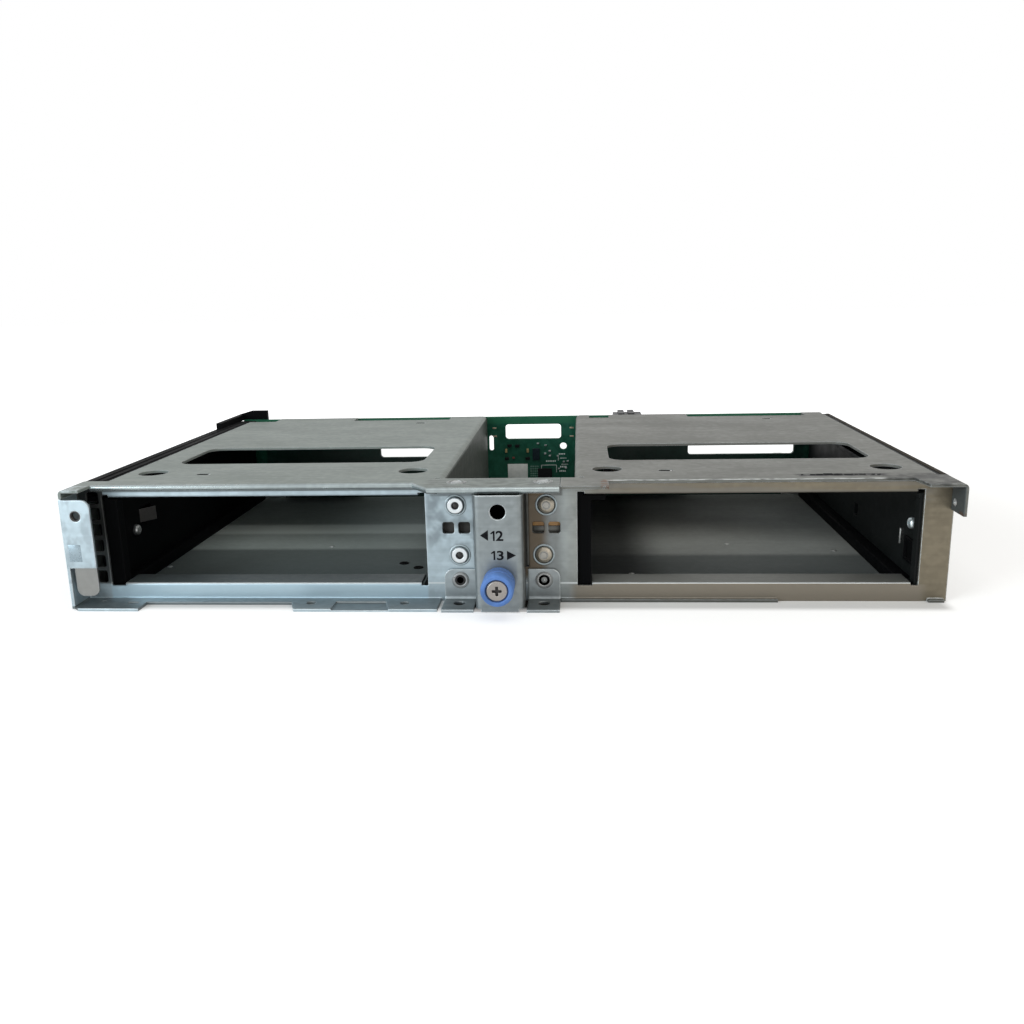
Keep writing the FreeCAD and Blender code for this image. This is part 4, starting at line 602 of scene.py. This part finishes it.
guide_plastic = moulded_material("guide plastic", (0.002, 0.0022, 0.0025))
set_piece(blind, "channel_blind", guide_plastic)

# Leaf: the rounded tongue of thin steel behind the left ear.
# Plain rolled steel, satin, warmer than the zinc around it.
leaf_steel = plain_metal("leaf steel", (0.25, 0.25, 0.24), 0.2, 0.34)
# Painted shade where the leaf shows through the ear's hole.
stain(leaf_steel, (0.022, 0.018, 0.014), 0.92, X=(-143.6, -139.0, 0.3), Z=(30.6, 35.2, 0.3))
dress(leaf_steel, "left_leaf")

# Rivets: hollow ones at the left flange, solid ones at the right, flat ones under the tongue.
# Nickel-plated steel; setting them leaves a coined ring in the sheet round each head, and the hollow
# ones keep the broken end of the mandrel that pulled them tight.
rivet_places = [(-15.2, 33.5), (-14.2, 16.3), (15.2, 33.5), (14.2, 16.3)]
hollow_places, solid_places = rivet_places[:2], rivet_places[2:]
rivet_bore = 1.32
bright_rivet = plain_metal("bright rivet", (0.76, 0.80, 0.82), 0.12, 0.30)
# Painted shade in the bores of the hollow rivets.
for x, z in hollow_places:
    stain(bright_rivet, (0.02, 0.018, 0.018), 0.95, X=(x - rivet_bore, x + rivet_bore, 0.02),
          Y=(-80.8, -70.0, 0.04), Z=(z - rivet_bore, z + rivet_bore, 0.02))
dress(bright_rivet, "hollow_rivets")
dress(plain_metal("dull rivet", (0.42, 0.38, 0.31), 0.15, 0.40, (0.55, 0.50, 0.42)), "solid_rivets")
dress(plain_metal("cover rivet", (0.36, 0.38, 0.38), 0.15, 0.30), "cover_rivets")
set_copies(turn_up([(3.75, 0.0), (3.75, 0.03), (3.5, 0.16), (3.25, 0.16), (3.0, 0.02)], 40), "rivet_ring",
           zinc_material("coined zinc", (0.42, 0.50, 0.53), (0.24, 0.27, 0.28)),
           [((x, panel_front, z), FACING_FRONT) for x, z in rivet_places])
set_copies(turn_up([(1.26, 0.0), (1.26, 0.15), (0.78, 0.2), (0.78, 0.5), (0.4, 0.62)], 24), "rivet_mandrel",
           dark_steel, [((x, panel_front - 0.1, z), FACING_FRONT) for x, z in hollow_places])
set_copies(turn_up([(1.45, 0.0), (1.45, 0.05), (1.36, 0.14), (1.24, 0.14), (1.14, 0.07), (0.5, 0.09)], 28),
           "rivet_stem", plain_metal("rivet stem", (0.36, 0.35, 0.32), 0.25, 0.36),
           [((x, panel_front - 0.88, z), FACING_FRONT) for x, z in solid_places])

# Guides: the black mouldings along both walls of each bay, with a ribbed strip beside each cover and low
# runners, pegs and a foot on the floor. Injection-moulded plastic with a fine spark-eroded grain, held by
# cross-head screws; the right one has a steel catch strip and a pocket for a drive's latch.
dress(guide_plastic, "left_guide", "left_inner_guide", "right_inner_guide")
# A lighter, glossier copy of the guide plastic, as painted light on the right guide, whose wall faces the
# light.
dress(moulded_material("right guide plastic", (0.0055, 0.0068, 0.0068), 0.55, specular=0.12), "right_guide")
dress(plain_metal("spring steel", (0.11, 0.105, 0.10), 0.2, 0.45, (0.18, 0.175, 0.17)), "left_spring")
guide_wall = 138.0
runner_front = -69.4
set_piece(block_up((-26.9, -79.5, floor_top), (-24.6, runner_front, 6.2), 0.3), "left_inner_foot",
          guide_plastic)
set_copies(turn_up([(1.9, 0.0), (1.9, 0.1), (1.6, 0.3), (0.9, 0.3), (0.8, 0.1)], 24), "floor_peg",
           guide_plastic,
           [((x, y, floor_top), FLAT) for x, y in ((-41.5, -38.8), (-35.0, -44.6))])
for side, left, right in (("left", -guide_wall - 0.2, -134.2), ("right", 133.4, guide_wall + 0.2)):
    runner = block_up((left, runner_front, floor_top), (right, 76.0, 5.4), 0.4)
    set_piece(runner, side + "_floor_runner", guide_plastic)
strip_front, strip_back, strip_top = -74.0, 77.0, 41.0
for number, (left, right) in enumerate(((-143.3, -142.7), (-140.0, -139.4)), 1):
    rib = block_up((left, strip_front, strip_top - 0.1), (right, strip_back, strip_top + 0.25), 0.12)
    set_piece(rib, "left_strip_rib_%d" % number, guide_plastic)
dusty_plastic = moulded_material("dusty plastic", (0.045, 0.040, 0.034), 0.7, worn=(0.07, 0.063, 0.055))
set_piece(block_up((144.7, strip_front, strip_top - 0.1), (146.4, strip_back, strip_top + 0.3), 0.2),
          "right_strip_band", dusty_plastic)


def cross_cut(screw, reach, width, top, deep):
    """Cut a cross recess into the top of a screw standing along Z, sizes in mm."""
    cutter = block_up((-reach, -width / 2, top - deep), (reach, width / 2, top + 1.0), width * 0.2, 1)
    arm = block_up((-width / 2, -reach, top - deep), (width / 2, reach, top + 1.0), width * 0.2, 1)
    for tool in (cutter, arm):
        bpy.ops.object.select_all(action="DESELECT")
        bpy.context.view_layer.objects.active = screw
        screw.select_set(True)
        bpy.ops.object.modifier_add(type="BOOLEAN")
        recess = screw.modifiers[-1]
        recess.operation = "DIFFERENCE"
        recess.solver = "EXACT"
        recess.object = tool
        bpy.ops.object.modifier_apply(modifier=recess.name)
        bpy.data.objects.remove(tool, do_unlink=True)


guide_screw_top = 1.78
guide_screw = turn_up([(1.2, -8.5), (1.2, -0.02), (2.0, 0.0), (2.0, 0.7), (1.85, 1.2), (1.4, 1.6),
                       (0.8, guide_screw_top)], 32)
cross_cut(guide_screw, 1.05, 0.55, guide_screw_top, 0.8)
# The right screw's tone is bright and bluish as a painted highlight.
guide_screw_zinc = zinc_material("guide screw zinc", (0.40, 0.41, 0.40), (0.74, 0.82, 0.84), 0.15, 0.30,
                                 metallic=0.8)
guide_screw_stands = [((-guide_wall, -56.9, 19.6), FACING_RIGHT), ((guide_wall, -69.1, 23.9), FACING_LEFT)]
guide_heads = set_copies(guide_screw, "guide_screw", guide_screw_zinc, guide_screw_stands)
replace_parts(join_pieces(guide_heads, "cross_head_guide_screws"), "guide_screws")
set_piece(block_up((137.5, -58.5, 13.8), (guide_wall, -57.7, 19.4), 0.15), "catch_strip", bright_steel)
set_piece(turn_up([(0.95, 0.0), (0.95, 0.5), (0.75, 0.75), (0.4, 0.85)], 20), "catch_stud", bright_steel,
          (guide_wall, -73.7, 25.6), FACING_LEFT)
catch_pocket = block_up((137.3, -72.8, 9.9), (guide_wall, -63.4, 18.4), 0.2)
bpy.ops.object.mode_set(mode="EDIT")
pick_faces(lambda face: face.normal.x < -0.99)
bpy.ops.mesh.inset(thickness=0.9 * MM)
bpy.ops.mesh.extrude_region_move(TRANSFORM_OT_translate={"value": (0.55 * MM, 0.0, 0.0)})
bpy.ops.object.mode_set(mode="OBJECT")
set_piece(catch_pocket, "catch_pocket", guide_plastic)

# Board: the green connector board across the back, on four screws.
# Glass laminate under a solder mask, lighter green along its top, with small parts soldered on.
board_green, tree, shader = new_material("board laminate", 0.0, 0.35)
height = add_node(tree, "ShaderNodeSeparateXYZ", {0: place_on(tree)}).outputs["Z"]
mask = mix_colour(tree, remap(tree, speckle(tree, 3.0, 2.0), 0.45, 0.6),
                  (0.0075, 0.078, 0.046, 1.0), (0.012, 0.10, 0.062, 1.0))
traces = mix_colour(tree, remap(tree, speckle(tree, 0.9, 2.0, (1.0, 1.0, 2.5)), 0.56, 0.64, 0.0, 0.6),
                    mask, (0.016, 0.105, 0.072, 1.0))
lighter_top = mix_colour(tree, remap(tree, height, 37.5 * MM, 38.2 * MM), traces, (0.016, 0.115, 0.062, 1.0))
tree.links.new(lighter_top, shader.inputs["Base Color"])
tree.links.new(remap(tree, speckle(tree, 6.0, 2.0), 0.35, 0.65, 0.28, 0.42), shader.inputs["Roughness"])
# Painted shade on the board where it shows in the two bays.
board_in_bay = {"Y": (79.0, 80.3, 0.2), "Z": (0.0, 35.0, 2.0)}
stain(board_green, (0.003, 0.017, 0.015), 0.75, X=(-132.0, -26.0, 2.0), **board_in_bay)
stain(board_green, (0.004, 0.022, 0.018), 0.6, X=(28.0, 135.0, 2.0), **board_in_bay)
dress(board_green, "backplane_board")
board_front, board_back = 80.0, 81.6


def flecked_material(name, dark, light, size_mm, rough, metallic=0.0, specular=0.4):
    """A small part's finish: two close tones in fine flecks."""
    material, tree, shader = new_material(name, metallic, specular)
    two_tones(tree, shader, size_mm, 0.35, 0.65, dark, light)
    tree.links.new(remap(tree, speckle(tree, size_mm * 2.0), 0.3, 0.7, rough - 0.06, rough + 0.06),
                   shader.inputs["Roughness"])
    return material


paper = flecked_material("blank label paper", (0.80, 0.82, 0.80), (0.88, 0.89, 0.87), 1.2, 0.6)
silk = flecked_material("white silk print", (0.78, 0.81, 0.78), (0.88, 0.90, 0.88), 0.8, 0.6)
ceramic = flecked_material("brown ceramic", (0.16, 0.10, 0.06), (0.24, 0.15, 0.09), 0.7, 0.5)
solder = flecked_material("solder", (0.42, 0.43, 0.43), (0.58, 0.59, 0.60), 0.6, 0.32, 0.8)
black_part = moulded_material("part plastic", (0.013, 0.013, 0.014), 0.5)

tinned = flecked_material("tinned slot", (0.38, 0.31, 0.22), (0.55, 0.47, 0.36), 0.6, 0.35, 0.5)
slot_places = [(-16.0, 35.6), (-15.8, 31.5), (22.5, 35.4), (22.5, 31.2)]
set_copies(block_up((-1.0, -0.06, -0.4), (1.0, 0.06, 0.4), 0.05), "plated_slot", tinned,
           [((x, board_front, z), FLAT) for x, z in slot_places])
set_piece(block_up((-9.7, board_front - 0.1, 10.1), (0.3, board_front + 0.02, 17.4), 0.04), "blank_label",
          paper)


def row_up(piece, pitch, count):
    """Repeat a piece along X by an array, pitch in mm."""
    bpy.ops.object.modifier_add(type="ARRAY")
    row = piece.modifiers[-1]
    row.count = count
    row.use_relative_offset = False
    row.use_constant_offset = True
    row.constant_offset_displace = (pitch * MM, 0.0, 0.0)
    bpy.ops.object.modifier_apply(modifier=row.name)
    return piece


def print_up(left, low, right, high):
    """A printed stroke on the front of the board, in mm."""
    return block_up((left, board_front - 0.05, low), (right, board_front + 0.02, high), 0.02)


silk_lines = [(7.1, 13.0, 7.35, 16.8), (7.1, 16.55, 14.9, 16.8), (14.65, 13.0, 14.9, 16.8),
              (16.6, 20.0, 19.9, 20.25), (15.6, 18.9, 15.85, 21.3), (17.2, 16.9, 20.6, 17.15)]
for number, line in enumerate(silk_lines, 1):
    set_piece(print_up(*line), "silk_line_%d" % number, silk)
silk_rows = [(9.6, 18.3, 6), (16.2, 13.2, 4), (16.0, 21.9, 4), (16.6, 15.4, 4)]
for number, (left, low, count) in enumerate(silk_rows, 1):
    set_piece(row_up(print_up(left, low, left + 0.55, low + 0.75), 0.85, count), "silk_row_%d" % number, silk)
print_green = flecked_material("pale print", (0.10, 0.20, 0.16), (0.17, 0.28, 0.23), 0.7, 0.6)
for number, low in enumerate((10.9, 12.1, 13.3, 14.5, 15.7), 1):
    set_piece(row_up(print_up(1.6, low, 2.5, low + 0.7), 1.1, 4), "print_row_%d" % number, print_green)


def chip_part_up(length, width, tall, cap):
    """Two-ended part along X with its top towards the viewer, in mm: a body with a raised cap at each end."""
    part = block_up((-length / 2, -tall, -width / 2), (length / 2, 0.0, width / 2),
                    min(width, tall) * 0.12, 1)
    bpy.ops.object.mode_set(mode="EDIT")
    for place, normal in ((length / 2 - cap, 1.0), (cap - length / 2, -1.0)):
        bpy.ops.mesh.select_all(action="SELECT")
        bpy.ops.mesh.bisect(plane_co=(place * MM, 0.0, 0.0), plane_no=(normal, 0.0, 0.0))
    pick_faces(lambda face: abs(face.calc_center_median().x) > (length / 2 - cap) * MM)
    bpy.ops.transform.resize(value=(1.0, 1.06, 1.06))
    bpy.ops.object.mode_set(mode="OBJECT")
    return part


tan_ceramic = flecked_material("tan ceramic", (0.30, 0.23, 0.10), (0.44, 0.35, 0.17), 0.7, 0.5)
set_copies(chip_part_up(1.9, 1.0, 0.9, 0.35), "ceramic_part", tan_ceramic,
           [((x, board_front, 24.2), FACING_RIGHT) for x in (-10.3, 0.5)])
resistor_places = [(9.1, 22.5), (11.5, 21.5), (11.5, 23.9), (15.5, 21.3), (16.0, 14.9), (19.5, 15.1),
                   (18.5, 18.4), (20.4, 18.6), (5.6, 27.7), (9.5, 26.8)]
set_copies(chip_part_up(1.1, 0.7, 0.5, 0.25), "resistor", solder,
           [((x, board_front, z), FLAT) for x, z in resistor_places])
black_places = [(-8.6, 26.7), (-4.7, 26.6), (-10.0, 20.3), (0.4, 20.2)]
set_copies(chip_part_up(2.1, 1.2, 0.7, 0.3), "small_black_part", black_part,
           [((x, board_front, z), FLAT) for x, z in black_places])
blue_black = flecked_material("blue-black mould", (0.006, 0.014, 0.020), (0.009, 0.020, 0.028), 0.8, 0.5,
                              specular=0.2)
set_piece(chip_part_up(3.4, 5.4, 0.9, 0.4), "bridge_chip", blue_black,
          (4.7, board_front, 22.4))
red_ceramic = flecked_material("red ceramic", (0.16, 0.045, 0.035), (0.22, 0.07, 0.05), 0.6, 0.5)
set_piece(chip_part_up(1.3, 0.8, 0.6, 0.3), "red_part", red_ceramic,
          (-6.7, board_front, 20.6))
rear_parts = [(-118.0, 30.0), (-104.0, 12.0), (-92.0, 30.5), (-25.0, 25.0), (-19.0, 12.0), (24.0, 14.0),
              (66.0, 33.0), (74.0, 10.0), (98.0, 30.5), (112.0, 12.0), (124.0, 20.0)]
set_copies(chip_part_up(4.2, 2.4, 1.5, 0.6), "rear_part", ceramic,
           [((x, board_back, z), TURNED_ROUND) for x, z in rear_parts])

board_screw_top = 1.79
board_screw = turn_up([(1.5, -5.0), (1.5, -0.02), (2.8, 0.0), (2.8, 0.8), (2.6, 1.25), (2.0, 1.62),
                       (1.2, board_screw_top)], 32)
cross_cut(board_screw, 1.5, 0.7, board_screw_top, 1.0)
board_heads = set_copies(board_screw, "board_screw", fastener_steel,
                         [((x, board_back, 6.2), FACING_BACK) for x in (-131.0, -36.0, 32.0, 132.0)])
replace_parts(join_pieces(board_heads, "cross_head_board_screws"), "board_screws")

# Connectors and chip: the drive sockets that face the bays, the cable sockets behind the board and the
# controller. Black moulded housings soldered to the board, with rows of gold-plated contacts.
dress(moulded_material("connector plastic", (0.012, 0.012, 0.013), 0.45, specular=0.3),
      "left_drive_connector", "right_drive_connector", "power_connector", "signal_connector")
dress(black_part, "controller_chip")
gold = flecked_material("contact gold", (0.48, 0.33, 0.11), (0.62, 0.45, 0.17), 0.6, 0.3, 0.9)


def contact_row(name, first, pitch, count, low, high, round_mm):
    """Row of contacts along X: one blade in mm, repeated by an array."""
    row = row_up(block_up(low, high, round_mm, 1), pitch, count)
    set_piece(row, name, gold, first)


for side, left in (("left", -119.8), ("right", 42.8)):
    contact_row(side + "_drive_contacts", (left, 0.0, 0.0), 1.27, 26,
                (-0.35, 73.3, 15.1), (0.35, 77.0, 15.35), 0.05)
for row, middle in (("lower", 10.6), ("upper", 15.6)):
    contact_row("power_pins_" + row, (-66.4, 0.0, middle), 5.6, 4, (-0.5, 83.0, -0.5), (0.5, 89.5, 0.5), 0.12)
for row, middle in (("lower", 31.4), ("upper", 36.4)):
    contact_row("signal_pins_" + row, (46.4, 0.0, middle), 1.1, 8, (-0.2, 84.5, -0.2), (0.2, 91.5, 0.2), 0.05)

# Thumbscrew: the captive screw with its blue knob and the ring behind the bracket.
# The knob is moulded over the screw, with a fine knurl on its rear collar and a raised front rim;
# the pan head has a cross recess, and the ring is pressed on behind the face.
knob_blue = moulded_material("knob plastic", (0.09, 0.185, 0.445), 0.48, (0.13, 0.24, 0.55), 0.25)
knob_height = 10.6
knob = turn_up([(4.55, 0.0), (5.05, 0.5), (5.05, 4.2), (4.85, 4.4), (4.85, 5.3), (5.25, 5.6), (5.3, 6.1),
                (5.3, 9.0), (5.05, 9.5), (4.7, 9.7), (3.95, 9.7), (3.75, 9.5), (3.75, 8.6)], 60)
bpy.ops.object.mode_set(mode="EDIT")


def on_knurl(face):
    """True for the faces round the knob's rear collar."""
    middle = face.calc_center_median()
    return abs(face.normal.z) < 0.1 and 0.6 * MM < middle.z < 4.1 * MM


pick_faces(on_knurl)
bpy.ops.mesh.inset(thickness=0.09 * MM, depth=0.22 * MM, use_individual=True)
bpy.ops.object.mode_set(mode="OBJECT")
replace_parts(set_piece(knob, "knurled_knob", knob_blue, (0.0, -92.6, knob_height),
                      FACING_FRONT, "thumbscrew"), "thumbscrew_knob")

screw_zinc = plain_metal("screw steel", (0.32, 0.295, 0.275), 0.2, 0.32, (0.50, 0.47, 0.44))
thread_pitch, thread_tip, thread_turns = 0.4, -9.0, 18
thread = []
for step in range(thread_turns):
    thread += [(1.75, thread_tip + step * thread_pitch), (1.5, thread_tip + (step + 0.5) * thread_pitch)]
head_top = 8.5
screw = turn_up([(1.15, -9.6), (1.7, -9.1)] + thread
                + [(1.7, -1.7), (1.95, -1.65), (1.95, 7.58), (3.45, 7.6), (3.45, 8.15), (3.1, head_top)], 32)
cross_cut(screw, 1.6, 0.95, head_top, 0.82)
# Painted shade in the cross recess of the thumbscrew's head.
recess_reach = 1.7
stain(screw_zinc, (0.015, 0.013, 0.012), 0.95, X=(-recess_reach, recess_reach, 0.05),
      Y=(-102.0, -100.3, 0.05), Z=(knob_height - recess_reach, knob_height + recess_reach, 0.05))
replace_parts(set_piece(screw, "cross_head_thumbscrew", screw_zinc, (0.0, -93.6, knob_height),
                      FACING_FRONT, "thumbscrew"), "thumbscrew_screw")
dress(plain_metal("ring steel", (0.3, 0.3, 0.3), 0.1, 0.35), "retaining_ring")

# Stage: a plain pale floor with the soft shadow of the cage, under a white sky and three soft lamps.
# The camera stands where the photograph's stood.
floor_size = 6.0
bpy.ops.object.select_all(action="DESELECT")
bpy.ops.mesh.primitive_plane_add(size=floor_size, location=(0.0, 0.0, 0.0))
floor = bpy.context.object
floor.name = "floor"


def seen_by_eye(tree):
    """One for what the camera sees, straight or by a reflection, and zero for the light on the cage."""
    ray = add_node(tree, "ShaderNodeLightPath")
    beyond = calculate(tree, "MAXIMUM", ray.outputs["Is Glossy Ray"], ray.outputs["Is Transmission Ray"])
    return calculate(tree, "MAXIMUM", ray.outputs["Is Camera Ray"], beyond)


WHITE = (1.0, 1.0, 1.0, 1.0)
pale, tree, shader = new_material("pale floor", 0.0, 0.0)
shader.inputs["Roughness"].default_value = 0.9
shader.inputs["Emission Color"].default_value = WHITE
away = add_node(tree, "ShaderNodeVectorMath", {0: place_on(tree, (1.0, 1.5, 1.0))}, operation="LENGTH")
white = remap(tree, away.outputs["Value"], 0.15, 0.60, 0.42, 1.0)
spot = add_node(tree, "ShaderNodeSeparateXYZ", {0: place_on(tree)})
under = calculate(tree, "MULTIPLY", band(tree, spot.outputs["X"], -143.0, 143.0, 5.0),
                  band(tree, spot.outputs["Y"], -86.0, 80.0, 5.0))
# Painted shadow: the floor's colour is dark under the feet.
feet = calculate(tree, "MULTIPLY", band(tree, spot.outputs["X"], -19.0, 19.0, 0.4),
                 band(tree, spot.outputs["Y"], -91.0, -80.0, 0.8))
shaded = mix_colour(tree, feet, (0.82, 0.82, 0.82, 1.0), (0.03, 0.028, 0.026, 1.0))
tree.links.new(shaded, shader.inputs["Base Color"])
open_floor = calculate(tree, "MULTIPLY", white, calculate(tree, "SUBTRACT", 1.0, under))
tree.links.new(calculate(tree, "MULTIPLY", seen_by_eye(tree), open_floor), shader.inputs["Emission Strength"])
floor.data.materials.append(pale)

sky = bpy.data.worlds.new("white sky")
bpy.context.scene.world = sky
sky.use_nodes = True
tree = sky.node_tree
background = tree.nodes["Background"]
tree.links.new(remap(tree, seen_by_eye(tree), 0.0, 1.0, 0.32, 1.0), background.inputs["Strength"])
background.inputs["Color"].default_value = WHITE


def soft_lamp(name, place, aim, size, power, colour):
    """A square soft box at place, turned towards aim."""
    lamp = bpy.data.lights.new(name, "AREA")
    lamp.shape = "SQUARE"
    lamp.size = size
    lamp.energy = power
    lamp.color = colour
    holder = bpy.data.objects.new(name, lamp)
    bpy.context.scene.collection.objects.link(holder)
    holder.location = place
    holder.rotation_euler = (Vector(aim) - Vector(place)).to_track_quat("-Z", "Y").to_euler()


soft_lamp("window light", (-0.70, -0.62, 0.30), (-0.06, -0.08, 0.02), 0.5, 5.0, (0.86, 0.95, 1.0))
soft_lamp("room light", (0.65, -0.35, 0.50), (0.05, 0.0, 0.02), 0.5, 1.3, (1.0, 0.90, 0.78))
soft_lamp("ceiling light", (0.0, -0.28, 0.92), (0.0, 0.0, 0.04), 0.8, 2.4, (0.98, 1.0, 0.97))

camera_lens = 32.947
camera_place = (26.293 * MM, -382.709 * MM, 103.992 * MM)
camera_yaw, camera_pitch, camera_roll = (math.radians(angle) for angle in (4.2554, -13.5061, 1.3125))
camera_data = bpy.data.cameras.new("photo camera")
camera_data.lens = camera_lens
camera_data.sensor_width = 36.0
camera_data.clip_start = 0.01
camera = bpy.data.objects.new("photo camera", camera_data)
bpy.context.scene.collection.objects.link(camera)
camera.matrix_world = (Matrix.Translation(camera_place) @ Matrix.Rotation(camera_yaw, 4, "Z")
                       @ Matrix.Rotation(camera_pitch, 4, "X") @ Matrix.Rotation(camera_roll, 4, "Y")
                       @ Matrix.Rotation(math.radians(90.0), 4, "X"))
bpy.context.scene.camera = camera
bpy.context.scene.view_settings.view_transform = "Standard"
